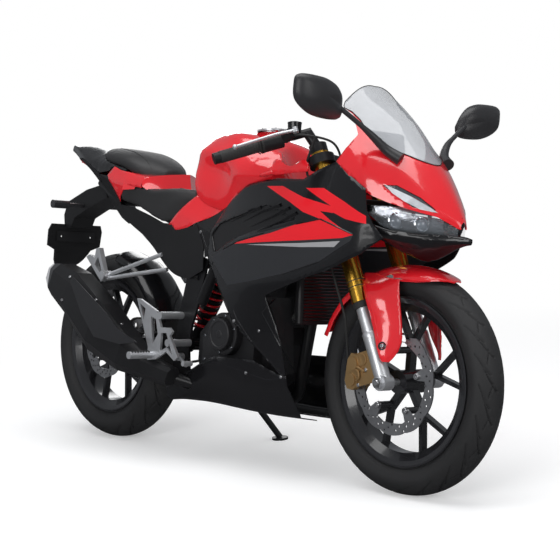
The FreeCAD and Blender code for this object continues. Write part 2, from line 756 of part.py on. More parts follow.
# front caliper on the right leg, behind the axle
ray = V(math.cos(math.radians(size.caliper_angle)), 0, math.sin(math.radians(size.caliper_angle)))
along = ray.cross(axis_y)
middle = front_axle + ray * size.caliper_circle - axis_y * size.disc_offset
length = size.caliper_length / 2
depth = size.caliper_depth / 2
width = size.caliper_width / 2
outline = [
    middle + along * (length * a) + ray * (depth * b) - axis_y * width
    for a, b in ((-1, -0.4), (-0.7, -1), (0.7, -1), (1, -0.4), (1, 0.5), (0.6, 1), (-0.6, 1), (-1, 0.5))
]
body = slab(outline, axis_y * (2 * width))
slot_half = size.disc_thickness / 2 + size.caliper_gap
slot_low = middle - along * (2 * length) - ray * (3 * depth) - axis_y * slot_half
slot = slab(
    [slot_low, slot_low + along * (4 * length), slot_low + along * (4 * length) + ray * (3.4 * depth),
     slot_low + ray * (3.4 * depth)], axis_y * (2 * slot_half))
pots = [
    cylinder(middle + along * (length * 0.45 * side) - axis_y * (width + size.disc_thickness), axis_y,
             depth * 0.72, size.disc_thickness)
    for side in (-1, 1)
]
lug_low = steer_point(size.fork_offset, -half_spacing, size.axle_lug_height * 0.1)
lug_high = steer_point(size.fork_offset, -half_spacing, size.axle_lug_height * 0.8)
arm_face = middle.y - width + size.fork_tube_wall
hanger = prism([lug_low, lug_high, middle - along * length, middle + along * length], arm_face, size.disc_thickness * 2)
hanger = hanger.cut(Part.makeCompound(legs))
caliper_body = whole(body, hanger, *pots).cut(slot).cut(at(disc_room(size.front_disc_radius, front_ear_share), front_axle))
piece("front_caliper", caliper_body)

# brake hose from the right-hand master cylinder down behind the fork to the caliper
hose_start = steer_point(size.fork_offset + size.lever_ahead * 0.9, -half_spacing - size.fork_tube_radius * 2, size.top_yoke_level + size.bar_rise * 0.55)
hose_low = steer_point(-size.fork_tube_radius * 0.7, -half_spacing - size.fork_tube_radius * 0.6, size.fork_tube_low * 0.9)
hose_mid = steer_point(-size.fork_tube_radius * 0.7, -half_spacing - size.fork_tube_radius * 0.6, size.low_yoke_level)
hose_top = steer_point(size.fork_tube_radius * 0.2, -half_spacing - size.fork_tube_radius * 1.3, size.top_yoke_level)
hose_end = middle + along * (length * 0.8) + ray * depth - axis_y * (width * 0.2)
hose = tube_along([hose_start, hose_top, hose_mid, hose_low, hose_end], size.hose_radius, size.hose_bend)
hose = hose.cut(caliper_body).cut(Part.makeCompound(controls)).cut(clamps).cut(Part.makeCompound(bars))
piece("brake_hose", hose)
# frame, engine and swingarm, and first the line the side stand folds about
tangent = math.tan(math.radians(size.lean_angle))
stand_pivot = V(size.stand_pivot_x, size.stand_pivot_y, size.stand_pivot_z)
ground = size.stand_foot_y * tangent - size.rest_lift / math.cos(math.radians(size.lean_angle))
down_lean = V(0, -math.sin(math.radians(size.lean_angle)), math.cos(math.radians(size.lean_angle)))
foot_low = V(size.stand_foot_x, size.stand_foot_y, ground)
ankle = foot_low + down_lean * size.stand_foot_thickness
stowed_shares = (-0.975, 0.16, 0.1)
fold_axis = (ankle - stand_pivot).cross(V(*stowed_shares)).normalize()

frame_lines = {
    "spar": [
    (0.943, 0.108, 0.755), (0.853, 0.367, 0.688), (0.68, 0.467, 0.518), (0.627, 0.433, 0.376),
],
    "down": [
    (0.961, 0.083, 0.682), (0.91, 0.217, 0.6), (0.857, 0.25, 0.435),
],
    "brace": [
    (0.827, 0.35, 0.665), (0.753, 0.333, 0.482),
],
}
sides = []
for points in frame_lines.values():
    route = chassis.points(points)
    made = bar(route[0], route[1], size.spar_radius) if len(route) == 2 else tube_along(
        route, size.spar_radius, size.spar_radius * 4)
    sides += [made, across(made)]
plate_shares = [
    (0.653, 0.529), (0.627, 0.376), (0.607, 0.294), (0.6, 0.2), (0.605, 0.1), (0.587, 0.065),
    (0.561, 0.059), (0.547, 0.106), (0.555, 0.212), (0.563, 0.318), (0.587, 0.459), (0.627, 0.541),
]
plate = prism(chassis.side(plate_shares), size.frame_half_width - size.plate_thickness, size.plate_thickness)
sides += [plate, across(plate)]
pivot = V(size.pivot_x, 0, size.pivot_z)
pin = cylinder(pivot - axis_y * size.frame_half_width, axis_y, size.pivot_radius, 2 * size.frame_half_width)
head = steer_cylinder(0, 0, size.low_yoke_level + size.yoke_thickness / 2 + size.seam,
                      size.top_yoke_level - size.yoke_thickness / 2 - size.seam, size.head_tube_radius)
cross_low = cylinder(V(size.stand_pivot_x + size.rail_radius, -size.frame_half_width, size.stand_pivot_z), axis_y,
                     size.rail_radius, 2 * size.frame_half_width)
shock_tube = cylinder(V(size.countershaft_x, -size.frame_half_width + size.plate_thickness, size.countershaft_z * 1.69), axis_y,
                       size.rail_radius, 2 * (size.frame_half_width - size.plate_thickness))
head_bore = steer_cylinder(0, 0, size.low_yoke_level, size.top_yoke_level, size.stem_radius + size.head_bearing_gap)
stand_boss = cylinder(stand_pivot - fold_axis * (2 * size.stand_eye_radius), fold_axis, size.stand_boss_radius,
                      2 * size.stand_eye_radius - size.stand_eye_half_length - size.stand_play)
stand_pin = cylinder(stand_pivot - fold_axis * (2 * size.stand_eye_radius), fold_axis, size.stand_pin_radius,
                     2 * size.stand_eye_radius + size.stand_eye_half_length + size.stand_play)
stand_head = cylinder(stand_pivot + fold_axis * (size.stand_eye_half_length + size.stand_play), fold_axis,
                      size.stand_boss_radius, size.plate_thickness / 2)
frame_shape = whole(head, *(sides + [pin, cross_low, shock_tube, stand_boss, stand_pin, stand_head])).cut(head_bore)
piece("main_frame", frame_shape)

rail_lines = [
    [
    (0.653, 0.475, 0.576), (0.54, 0.4, 0.619), (0.42, 0.35, 0.671), (0.32, 0.317, 0.722),
    (0.207, 0.217, 0.824),
],
    [
    (0.627, 0.467, 0.465), (0.52, 0.417, 0.529), (0.42, 0.35, 0.661),
],
]
rails = []
for points in rail_lines:
    rail = tube_along(chassis.points(points), size.rail_radius, size.rail_radius * 6)
    rails += [rail, across(rail)]
for spot in chassis.points([
    (0.473, 0.375, 0.647), (0.293, 0.292, 0.744),
]):
    rails.append(cylinder(V(spot.x, -spot.y, spot.z), axis_y, size.rail_radius, 2 * spot.y))
rail_shape = whole(*rails).cut(frame_shape)
piece("seat_rails", rail_shape)

# engine: crankcase, leaning cylinder and head as one block
case_shares = [
    (0.613, 0.176), (0.627, 0.106), (0.68, 0.085), (0.773, 0.096), (0.82, 0.153), (0.831, 0.247),
    (0.813, 0.318), (0.72, 0.341), (0.653, 0.329), (0.617, 0.271),
]
case = prism(chassis.side(case_shares), -size.engine_depth * 0.62, size.engine_depth)
barrel_shares = [
    (0.72, 0.329), (0.813, 0.294), (0.857, 0.465), (0.847, 0.541), (0.787, 0.582), (0.76, 0.529),
]
block = prism(chassis.side(barrel_shares), -size.engine_depth * 0.42, size.engine_depth * 0.84)
engine_shape = whole(case, block).cut(frame_shape)
piece("engine", engine_shape)

clutch_centre = chassis.side([
    (0.735, 0.278),
])[0]
clutch_start = V(clutch_centre.x, -size.engine_depth, clutch_centre.z)
cover_disc = cylinder(clutch_start, axis_y, size.clutch_radius, size.engine_depth * 0.38 - size.seam)
cap_disc = cylinder(clutch_start - axis_y * size.clutch_depth * 0.4, axis_y, size.clutch_radius * 0.74,
                    size.clutch_depth * 0.4)
case_right = chassis.side([
    (0.653, 0.176), (0.68, 0.118), (0.76, 0.112), (0.807, 0.176), (0.81, 0.294), (0.76, 0.341),
    (0.687, 0.329), (0.657, 0.271),
])
side_case = prism(case_right, -size.engine_depth * 0.85, size.engine_depth * 0.23 - size.seam)
alternator = cylinder(V(clutch_centre.x, size.engine_depth * 0.38 + size.seam, clutch_centre.z - size.clutch_radius * 0.6),
                      axis_y, size.clutch_radius * 0.95, size.clutch_depth)
piece("engine_covers", Part.makeCompound([whole(cover_disc, cap_disc, side_case), alternator]))

# swingarm: two box arms, a cross tube, and the rear axle it holds
arm_line = [V(size.pivot_x, 0, size.pivot_z), V(-size.arm_height * 0.7, 0, size.rear_tyre_radius)]
run = (arm_line[1] - arm_line[0]).normalize()
up = axis_y.cross(run).normalize()
if up.z < 0:
    up = up * -1
heel = size.arm_height / 2
tip = size.arm_height * 0.38
arm_profile = [
    arm_line[0] + up * heel, arm_line[1] + up * tip, arm_line[1] - up * tip, arm_line[0] - up * heel,
]
arm_start = size.arm_inner_half_width
arm = prism(arm_profile, arm_start, size.arm_width)
boss = cylinder(V(size.pivot_x, arm_start, size.pivot_z), axis_y, size.arm_height / 2, size.arm_width)
bridge = prism([
    arm_line[0] + run * (size.arm_height * 1.2) + up * (heel * 0.8), arm_line[0] + run * (size.arm_height * 2.6) + up * (heel * 0.8),
    arm_line[0] + run * (size.arm_height * 2.6) - up * (heel * 0.8), arm_line[0] + run * (size.arm_height * 1.2) - up * (heel * 0.8),
], -arm_start, 2 * arm_start)
axle_half = arm_start + size.arm_width + size.axle_radius
rear_bar = cylinder(rear_axle - axis_y * axle_half, axis_y, size.axle_radius, 2 * axle_half)
nuts = [cylinder(rear_axle - axis_y * axle_half, axis_y, size.axle_radius * 1.7, size.axle_radius),
        cylinder(rear_axle + axis_y * (axle_half - size.axle_radius), axis_y, size.axle_radius * 1.7, size.axle_radius)]
swing_shape = whole(arm, across(arm), boss, across(boss), bridge, rear_bar, *nuts)
pivot_hole = cylinder(pivot - axis_y * size.frame_half_width, axis_y, size.pivot_radius + size.axle_gap,
                      2 * size.frame_half_width)
swing_shape = swing_shape.cut(pivot_hole)
piece("swingarm", swing_shape)

# rear shock between the swingarm's bridge and the frame's cross tube
shock_low = arm_line[0] + run * (size.arm_height * 1.9) + up * (heel * 0.6)
shock_high = V(size.countershaft_x, 0, size.countershaft_z * 1.69)
shock_run = (shock_high - shock_low).normalize()
shock_length = (shock_high - shock_low).Length
coils = []
for number in range(7):
    start = shock_low + shock_run * (shock_length * (0.3 + number * 0.08))
    coils.append(cylinder(start, shock_run, size.shock_spring_radius, shock_length * 0.035))
shock_shape = whole(bar(shock_low, shock_high, size.shock_radius * 0.8), *coils)
piece("rear_shock", shock_shape.cut(swing_shape).cut(frame_shape).cut(engine_shape))

# hugger over the rear tyre, carried on the swingarm's arms
rear_guard_shares = [(20, 0.96, 0.3), (34, 1.0, 0.32), (50, 1.0, 0.34), (66, 1.0, 0.32), (80, 0.9, 0.3)]
hugger = wrapped_guard(rear_axle, size.rear_tyre_radius + size.rear_guard_gap, size.rear_guard_half_width, rear_guard_shares)
foot_x = (size.rear_tyre_radius + size.rear_guard_gap) * math.cos(math.radians(24))
hugger_foot = prism([V(foot_x, 0, size.pivot_z), V(foot_x + size.guard_tab * 2, 0, size.pivot_z),
                     V(foot_x + size.guard_tab, 0, size.pivot_z + size.arm_height * 2.3),
                     V(foot_x - size.guard_tab * 1.5, 0, size.pivot_z + size.arm_height * 2.3)],
                    size.rear_guard_half_width - size.fender_wall, size.arm_inner_half_width - size.rear_guard_half_width + 2 * size.fender_wall)
hugger = whole(hugger, across(hugger_foot)).cut(swing_shape).cut(frame_shape).cut(shock_shape)
piece("rear_hugger", hugger)

# radiator ahead of the engine
rad_low = chassis.side([
    (0.913, 0.327),
])[0]
rad_high = chassis.side([
    (0.913, 0.562),
])[0]
core = Part.makeBox(size.radiator_depth, 2 * size.radiator_half_width, rad_high.z - rad_low.z, V(rad_low.x, -size.radiator_half_width, rad_low.z))
tab_depth = size.spar_radius * 2
rad_tab = Part.makeBox(tab_depth, size.guard_tab, size.guard_tab, V(rad_low.x - tab_depth, size.stem_radius * 4 - size.guard_tab / 2, rad_high.z - size.guard_tab))
radiator = whole(core, rad_tab, across(rad_tab)).cut(frame_shape)
piece("radiator", radiator)

# rear caliper on a carrier against the right arm
rear_angle = math.radians(146)
ray = V(math.cos(rear_angle), 0, math.sin(rear_angle))
along = ray.cross(axis_y)
middle = rear_axle + ray * (size.rear_disc_radius * 0.92) - axis_y * size.disc_offset
half = size.rear_caliper_length / 2
depth = size.caliper_depth / 2
outline = [middle + along * (half * p) + ray * (depth * q) for p, q in ((-1, -0.6), (-0.7, -1), (0.7, -1), (1, -0.6), (1, 0.7), (0.6, 1), (-0.6, 1), (-1, 0.7))]
body = slab([p - axis_y * (size.arm_inner_half_width - size.disc_offset) for p in outline], axis_y * (2 * (size.arm_inner_half_width - size.disc_offset)))
slot = slab([middle - axis_y * slot_half + along * (2 * half * p) + ray * q for p, q in (
    (-1, -3 * depth), (1, -3 * depth), (1, depth * 0.5), (-1, depth * 0.5))], axis_y * (2 * slot_half))
carrier_arm = slab([p - axis_y * (size.arm_inner_half_width - size.disc_offset) for p in (
    middle - along * half, middle + along * half, rear_axle + along * size.rail_radius - axis_y * size.disc_offset,
    rear_axle - along * size.rail_radius - axis_y * size.disc_offset)], axis_y * (size.arm_inner_half_width - size.disc_offset - slot_half))
rear_clamp = whole(body.cut(slot), carrier_arm).cut(at(disc_room(size.rear_disc_radius, rear_ear_share), rear_axle))
piece("rear_caliper", rear_clamp.cut(swing_shape))

# the chain and its sprockets
front_centre = V(size.countershaft_x, size.chain_half_offset, size.countershaft_z)
rear_centre = V(0, size.chain_half_offset, size.rear_tyre_radius)


def chain_loop(grow, width):
    """A belt round both pitch circles, wider by grow on the outside."""
    big = size.rear_pitch_radius + grow
    small = size.front_pitch_radius + grow
    span = front_centre - rear_centre
    slope = math.atan2(span.z, span.x)
    spread = math.acos((big - small) / span.Length)
    spots = []
    for centre, reach in ((rear_centre, big), (front_centre, small)):
        for sign in (1, -1):
            angle = slope + sign * spread
            spots.append(V(centre.x + reach * math.cos(angle), 0, centre.z + reach * math.sin(angle)))
    back = V(rear_centre.x - big * math.cos(slope), 0, rear_centre.z - big * math.sin(slope))
    front = V(front_centre.x + small * math.cos(slope), 0, front_centre.z + small * math.sin(slope))
    edges = [
        Part.makeLine(spots[0], spots[2]), Part.Arc(spots[2], front, spots[3]).toShape(),
        Part.makeLine(spots[3], spots[1]), Part.Arc(spots[1], back, spots[0]).toShape(),
    ]
    belt = Part.Face(Part.Wire(edges))
    belt.translate(axis_y * (size.chain_half_offset - width / 2))
    return belt.extrude(axis_y * width)


chain_half = size.chain_pitch * 0.32
chain_shape = chain_loop(chain_half, size.chain_width).cut(chain_loop(-chain_half, size.chain_width))
piece("drive_chain", chain_shape)
sprocket_edge = size.rear_pitch_radius - chain_half - size.sprocket_gap
sprocket_low = size.hub_length / 2 + size.seam
sprocket = cylinder(V(0, size.chain_half_offset - size.sprocket_thickness / 2, 0), axis_y, sprocket_edge, size.sprocket_thickness)
carrier_part = cylinder(V(0, sprocket_low, 0), axis_y, sprocket_edge * 0.62,
                        size.chain_half_offset - size.sprocket_thickness / 2 - sprocket_low)
sprocket_bore = cylinder(V(0, 0, 0), axis_y, size.axle_radius * 1.8 + size.axle_gap, 2 * size.chain_half_offset)
windows = []
for number in range(int(size.spoke_count)):
    angle = 2 * math.pi * number / size.spoke_count
    spot = V(math.cos(angle), 0, math.sin(angle)) * (sprocket_edge * 0.78)
    windows.append(cylinder(spot, axis_y, sprocket_edge * 0.11, 2 * size.chain_half_offset))
piece("rear_sprocket", at(whole(sprocket, carrier_part).cut(Part.makeCompound([sprocket_bore] + windows)), rear_axle))

# side stand: a leg that reaches out and forward to the ground
foot = Part.makeCylinder(size.stand_foot_radius, size.stand_foot_thickness, foot_low, down_lean)
leg = bar(stand_pivot, ankle, size.stand_leg_radius)
eye = cylinder(stand_pivot - fold_axis * size.stand_eye_half_length, fold_axis, size.stand_eye_radius,
               2 * size.stand_eye_half_length)
eye_bore = cylinder(stand_pivot - fold_axis * (2 * size.stand_eye_half_length), fold_axis,
                    size.stand_pin_radius + size.seam, 4 * size.stand_eye_half_length)
stand_shape = whole(leg, foot, eye).cut(eye_bore)
piece("side_stand", stand_shape)
# bodywork

# fuel tank: a closed body with a flat crown, a knee recess and a long nose
tank_rows = [
    (0.006, (0.0, 0.861), (0.267, 0.845), (0.467, 0.794), (0.613, 0.642), (0.633, 0.405), (0.467,
        0.27), (0.2, 0.209)),
    (0.07, (0.0, 0.953), (0.4, 0.932), (0.72, 0.794), (0.693, 0.642), (0.733, 0.405), (0.613, 0.209),
        (0.233, 0.152)),
    (0.2, (0.0, 0.986), (0.533, 0.959), (0.813, 0.77), (0.693, 0.601), (0.747, 0.372), (0.667, 0.152),
        (0.267, 0.084)),
    (0.36, (0.0, 0.997), (0.613, 0.959), (0.907, 0.709), (0.787, 0.541), (0.787, 0.338), (0.693,
        0.169), (0.3, 0.084)),
    (0.52, (0.0, 0.939), (0.6, 0.895), (0.973, 0.642), (0.987, 0.524), (0.853, 0.372), (0.707, 0.27),
        (0.333, 0.22)),
    (0.68, (0.0, 0.828), (0.547, 0.784), (0.933, 0.615), (0.96, 0.514), (0.853, 0.422), (0.707,
        0.372), (0.4, 0.338)),
    (0.78, (0.0, 0.726), (0.467, 0.696), (0.84, 0.595), (0.88, 0.514), (0.8, 0.459), (0.667, 0.432),
        (0.467, 0.412)),
]
tank_shape = solid_loft([both_sides(points)[::-1] for points in tank.sections(tank_rows)], [1, 3, 4, 5, 6, 7, 8, 9, 11])
steer_room = steer_cylinder(0, 0, 0, 2 * size.fork_tube_top, size.fork_spacing / 2 + size.fork_tube_radius + size.overrun)
tank_shape = tank_shape.cut(steer_room)
cap_seat = Part.makeCylinder(size.cap_radius * 1.18, size.overrun, V(size.cap_x, 0, size.cap_level), axis_z)
neck_radius = size.cap_radius * 0.72
collar = Part.makeCylinder(size.cap_radius * 1.25, size.overrun, V(size.cap_x, 0, size.cap_level - size.overrun), axis_z)
tank_shape = tank_shape.fuse(collar)
neck = Part.makeCylinder(neck_radius, 2 * size.overrun, V(size.cap_x, 0, size.cap_level - 2 * size.overrun), axis_z)
tank_shape = tank_shape.cut(neck).cut(frame_shape).cut(cap_seat)
hinge_x = size.cap_x + size.cap_radius + size.cap_hinge_radius
hinge_z = size.cap_level + size.cap_hinge_radius + size.seam
hinge_room = cylinder(V(hinge_x, -size.cap_hinge_length / 2, hinge_z), axis_y, 2 * size.cap_hinge_radius, size.cap_hinge_length)
tank_shape = tank_shape.cut(hinge_room)
ears = []
for side in (-1, 1):
    start = side * size.cap_hinge_length / 2 - (size.cap_hinge_radius if side < 0 else 0)
    ear = Part.makeBox(2 * size.cap_hinge_radius, size.cap_hinge_radius, 2 * size.cap_hinge_radius + size.seam + size.overrun,
                       V(hinge_x - size.cap_hinge_radius, start, size.cap_level - size.overrun))
    ears.append(ear)
hinge_pin = cylinder(V(hinge_x, -size.cap_hinge_length / 2, hinge_z), axis_y, size.cap_hinge_radius / 2, size.cap_hinge_length)
tank_shape = tank_shape.multiFuse(ears + [hinge_pin])
piece("fuel_tank", tank_shape)
wing_rows = [
    (0.81, (0.987, 0.574), (1.0, 0.561), (1.007, 0.537), (0.98, 0.507)),
    (0.88, (0.993, 0.635), (1.007, 0.615), (1.02, 0.574), (0.987, 0.5)),
    (0.95, (1.0, 0.578), (1.013, 0.568), (1.02, 0.544), (0.993, 0.507)),
    (1.0, (1.0, 0.584), (1.013, 0.574), (1.02, 0.551), (1.0, 0.51)),
    (1.112, (1.003, 0.581), (1.017, 0.564), (1.017, 0.541), (1.003, 0.517)),
]
wing_sections = [[V(p.x, -p.y, p.z) for p in points][::-1] for points in tank.sections(wing_rows)]
wing_shape = shell_loft(wing_sections, size.panel_wall, [1, 2])
wing_front, wing_rear = tank.points([
    (0.828, -0.993, 0.527), (0.7, -0.907, 0.507),
])
wing_strap = cylinder(wing_front, wing_rear - wing_front, 2 * size.panel_wall, (wing_rear - wing_front).Length)
wing_shape = whole(wing_shape, wing_strap).cut(tank_shape)
wing_shape = max(wing_shape.Solids, key=lambda one: one.Volume)

lid = Part.makeCylinder(size.cap_radius, size.cap_thickness, V(size.cap_x, 0, size.cap_level + size.seam), axis_z)
plug = Part.makeCylinder(neck_radius * 0.8, size.cap_thickness + size.seam, V(size.cap_x, 0, size.cap_level - size.cap_thickness), axis_z)
ear_length = size.cap_hinge_length - 2 * size.seam
knuckle = cylinder(V(hinge_x, -ear_length / 2, hinge_z), axis_y, size.cap_hinge_radius, ear_length)
tongue = Part.makeBox(hinge_x - size.cap_x, ear_length * 0.8, size.cap_hinge_radius,
                      V(size.cap_x, -ear_length * 0.4, hinge_z - size.cap_hinge_radius / 2))
pin_hole = cylinder(V(hinge_x, -size.cap_hinge_length, hinge_z), axis_y, size.cap_hinge_radius / 2 + size.axle_gap / 2,
                    2 * size.cap_hinge_length)
piece("filler_cap", whole(lid, plug, knuckle, tongue).cut(pin_hole))

# seats
seat_rows = [
    (0.007, (0.0, 0.817), (0.469, 0.849), (0.766, 0.817), (0.844, 0.722), (0.812, 0.643), (0.469, 0.611)),
    (0.147, (0.0, 0.722), (0.508, 0.786), (0.844, 0.96), (0.938, 0.817), (0.891, 0.548), (0.469, 0.484)),
    (0.356, (0.0, 0.635), (0.547, 0.706), (0.922, 0.881), (0.984, 0.643), (0.938, 0.341), (0.469, 0.286)),
    (0.635, (0.0, 0.627), (0.516, 0.69), (0.875, 0.825), (0.961, 0.563), (0.891, 0.024), (0.469, 0.119)),
    (0.821, (0.0, 0.659), (0.438, 0.714), (0.766, 0.817), (0.875, 0.579), (0.781, 0.198), (0.391, 0.286)),
    (0.979, (0.0, 0.698), (0.344, 0.722), (0.578, 0.722), (0.656, 0.643), (0.594, 0.532), (0.312, 0.516)),
]
seat_shape = solid_loft([both_sides(points)[::-1] for points in seat.sections(seat_rows)], [1, 2, 8, 9])
seat_shape = seat_shape.cut(tank_shape)
pillion_rows = [
    (-0.516, (0.0, 1.311), (0.269, 1.278), (0.462, 1.111), (0.442, 0.933), (0.231, 0.889)),
    (-0.294, (0.0, 1.267), (0.519, 1.2), (0.808, 0.978), (0.788, 0.711), (0.433, 0.689)),
    (0.026, (0.0, 1.111), (0.635, 1.044), (0.952, 0.778), (0.913, 0.489), (0.481, 0.489)),
    (0.359, (0.0, 0.889), (0.673, 0.822), (1.019, 0.567), (0.971, 0.2), (0.529, 0.2)),
    (0.621, (0.0, 0.622), (0.577, 0.567), (0.885, 0.356), (0.856, 0.067), (0.433, 0.067)),
    (0.745, (0.0, 0.433), (0.346, 0.389), (0.558, 0.267), (0.538, 0.122), (0.288, 0.1)),
]
pillion_shape = solid_loft([both_sides(points)[::-1] for points in pillion.sections(pillion_rows)], [1, 7])

# tail: one skin, cut into the black hump, the red side covers and the dark under covers
tail_rows = [
    (0.008, (0.0, 0.991), (0.091, 0.987), (0.167, 0.974), (0.182, 0.955), (0.076, 0.938), (0.045, 0.914)),
    (0.133, (0.0, 0.981), (0.288, 0.959), (0.455, 0.92), (0.47, 0.877), (0.348, 0.828), (0.227, 0.774)),
    (0.267, (0.0, 0.929), (0.379, 0.903), (0.636, 0.843), (0.667, 0.787), (0.485, 0.723), (0.379, 0.624)),
    (0.4, (0.0, 0.903), (0.455, 0.873), (0.742, 0.796), (0.788, 0.692), (0.652, 0.581), (0.576, 0.473)),
    (0.533, (0.0, 0.843), (0.485, 0.813), (0.818, 0.735), (0.894, 0.662), (0.803, 0.538), (0.727, 0.366)),
    (0.667, (0.0, 0.753), (0.455, 0.731), (0.833, 0.688), (0.917, 0.637), (0.879, 0.495), (0.788, 0.237)),
    (0.8, (0.0, 0.714), (0.379, 0.699), (0.742, 0.671), (0.894, 0.619), (0.924, 0.452), (0.879, 0.065)),
    (0.911, (0.0, 0.645), (0.333, 0.637), (0.606, 0.613), (0.788, 0.57), (0.97, 0.409), (0.939, 0.022)),
    (1.0, (0.0, 0.581), (0.303, 0.559), (0.576, 0.527), (0.803, 0.484), (1.045, 0.344), (0.985, 0.022)),
    (1.111, (0.0, 0.581), (0.303, 0.572), (0.606, 0.559), (0.894, 0.527), (1.136, 0.366), (1.045, 0.065)),
    (1.244, (0.0, 0.688), (0.333, 0.68), (0.727, 0.667), (1.061, 0.628), (1.242, 0.452), (1.136, 0.151)),
]
tail_skin = shell_loft([both_sides(points) for points in tail.sections(tail_rows)], size.panel_wall, [1, 2, 3, 4, 6, 7, 8, 9])
reach = 2 * size.tail_half_width
cowl_side_shares = [
    (0.373, 0.731), (0.418, 0.789), (0.466, 0.759), (0.63, 0.701), (0.753, 0.701), (0.794, 0.723),
    (0.893, 0.665), (0.916, 0.602), (0.86, 0.606), (0.773, 0.606), (0.63, 0.622), (0.514, 0.652),
    (0.457, 0.581), (0.451, 0.542),
]
trim_side_shares = [
    (0.929, 0.585), (0.783, 0.374), (0.819, 0.338), (0.878, 0.344), (1.004, 0.413), (1.159, 0.535),
    (1.15, 0.594), (1.044, 0.581), (0.989, 0.606),
]
hump_shares = [
    (-0.011, 1.032), (-0.006, 0.957), (0.094, 0.886), (0.267, 0.677), (0.3, 0.753), (0.378, 0.761),
    (0.416, 0.794), (0.466, 0.763), (0.5, 0.751), (0.5, 1.032),
]
under_shares = [
    (0.27, 0.671), (0.303, 0.746), (0.371, 0.727), (0.449, 0.538), (0.456, 0.52), (0.514, 0.394),
    (0.5, 0.366), (0.4, 0.495), (0.333, 0.581),
]
cowl_shape = tail_skin.common(prism(tail.side(cowl_side_shares), -reach, 2 * reach))
hump_shape = tail_skin.common(prism(tail.side(hump_shares), -reach, 2 * reach))
under_shape = tail_skin.common(prism(tail.side(under_shares), -reach, 2 * reach))
cover_shares = [
    (0.458, 0.518), (0.514, 0.391), (0.604, 0.312), (0.662, 0.241), (0.712, 0.161), (0.786, 0.032),
    (0.836, 0.017), (0.906, 0.017), (0.993, 0.082), (1.0, 0.237), (0.959, 0.37), (0.827, 0.335),
    (0.802, 0.374), (0.761, 0.378), (0.662, 0.439), (0.548, 0.499),
]
side_cover_shape = tail_skin.common(prism(tail.side(cover_shares), -reach, 2 * reach))
side_cover_shape = side_cover_shape.cut(frame_shape).cut(rail_shape)
trim_shape = tail_skin.common(prism([p + axis_z * size.seam for p in tail.side(trim_side_shares)], -reach, 2 * reach))
hump_shape = max(hump_shape.cut(pillion_shape).Solids, key=lambda one: one.Volume)
seat_shape = max(seat_shape.cut(tail_skin).Solids, key=lambda one: one.Volume)
panel_shares = [
    (0.889, 0.335), (1.004, 0.409), (1.159, 0.531), (1.211, 0.609), (1.229, 0.581), (1.111, 0.441),
    (1.058, 0.34), (1.046, 0.176), (1.004, 0.163), (1.004, 0.237), (0.963, 0.37),
]
piece("rider_seat", seat_shape)
piece("pillion_seat", pillion_shape)
piece("tail_cowls", cowl_shape.cut(pillion_shape).cut(rail_shape).cut(tank_shape))
piece("tail_hump", hump_shape.cut(rail_shape))
piece("tail_under_covers", under_shape.cut(rail_shape).cut(side_cover_shape))
piece("side_covers", side_cover_shape)
tank_trim_shape = trim_shape.cut(tank_shape).cut(seat_shape).cut(frame_shape).cut(side_cover_shape)
piece("tank_panels", together(tank_trim_shape, with_mirror(wing_shape)))

# fairing: one side drawn once, mirrored for the other
side_rows = [
    (-0.151, (0.385, 0.75), (0.519, 0.708), (0.567, 0.556), (0.587, 0.361), (0.596, 0.194), (0.587,
        0.053), (0.404, 0.031), (0.144, 0.019)),
    (0.0, (0.462, 0.75), (0.577, 0.708), (0.615, 0.556), (0.63, 0.361), (0.644, 0.194), (0.625,
        0.058), (0.404, 0.019), (0.144, 0.01)),
    (0.14, (0.615, 0.799), (0.712, 0.736), (0.769, 0.611), (0.779, 0.431), (0.769, 0.236), (0.721,
        0.125), (0.481, 0.022), (0.192, 0.006)),
    (0.302, (0.663, 0.91), (0.827, 0.792), (0.894, 0.681), (0.894, 0.5), (0.865, 0.306), (0.798,
        0.142), (0.538, 0.017), (0.192, 0.0)),
    (0.465, (0.692, 0.931), (0.885, 0.822), (0.981, 0.694), (0.971, 0.528), (0.904, 0.333), (0.798,
        0.142), (0.529, 0.014), (0.192, 0.0)),
    (0.628, (0.712, 0.958), (0.894, 0.822), (0.995, 0.694), (0.99, 0.556), (0.923, 0.361), (0.769,
        0.142), (0.481, 0.022), (0.192, 0.006)),
    (0.767, (0.731, 0.989), (0.856, 0.847), (0.962, 0.722), (0.962, 0.611), (0.904, 0.389), (0.721,
        0.167), (0.433, 0.056), (0.144, 0.028)),
    (0.942, (0.529, 0.947), (0.635, 0.847), (0.702, 0.75), (0.692, 0.694), (0.644, 0.472), (0.548,
        0.222), (0.365, 0.111), (0.144, 0.083)),
]
side_sections = [[V(p.x, -p.y, p.z) for p in points][::-1] for points in fairing.sections(side_rows)]
side_skin = shell_loft(side_sections, size.panel_wall, [1, 2, 3, 4, 5, 6])
fairing_shares = [
    (0.116, 0.736), (0.186, 0.829), (0.293, 0.91), (0.351, 0.919), (0.447, 0.929), (0.587, 0.919),
    (0.651, 0.953), (0.735, 0.981), (0.793, 0.931), (0.867, 0.875), (0.886, 0.799), (0.933, 0.7),
    (0.877, 0.643), (0.774, 0.588), (0.672, 0.554), (0.48, 0.479), (0.53, 0.362), (0.544, 0.3),
    (0.551, 0.181), (0.535, 0.176), (0.442, 0.26), (0.3, 0.371), (0.217, 0.49), (0.117, 0.628),
]
belly_shares = [
    (-0.128, 0.011), (0.023, -0.011), (0.544, -0.011), (0.553, 0.042), (0.551, 0.18), (0.535, 0.176),
    (0.399, 0.228), (0.18, 0.224), (0.087, 0.185), (0.006, 0.147), (-0.087, 0.1), (-0.135, 0.072),
]
vent_shares = [
    (0.134, 0.711), (0.179, 0.753), (0.453, 0.824), (0.608, 0.769), (0.458, 0.736), (0.293, 0.694),
    (0.174, 0.642),
]
reach = 2 * size.fairing_half_width
right_fairing = side_skin.common(prism(fairing.side(fairing_shares), -reach, reach))
vent_room = prism(fairing.side(vent_shares), -reach, reach)
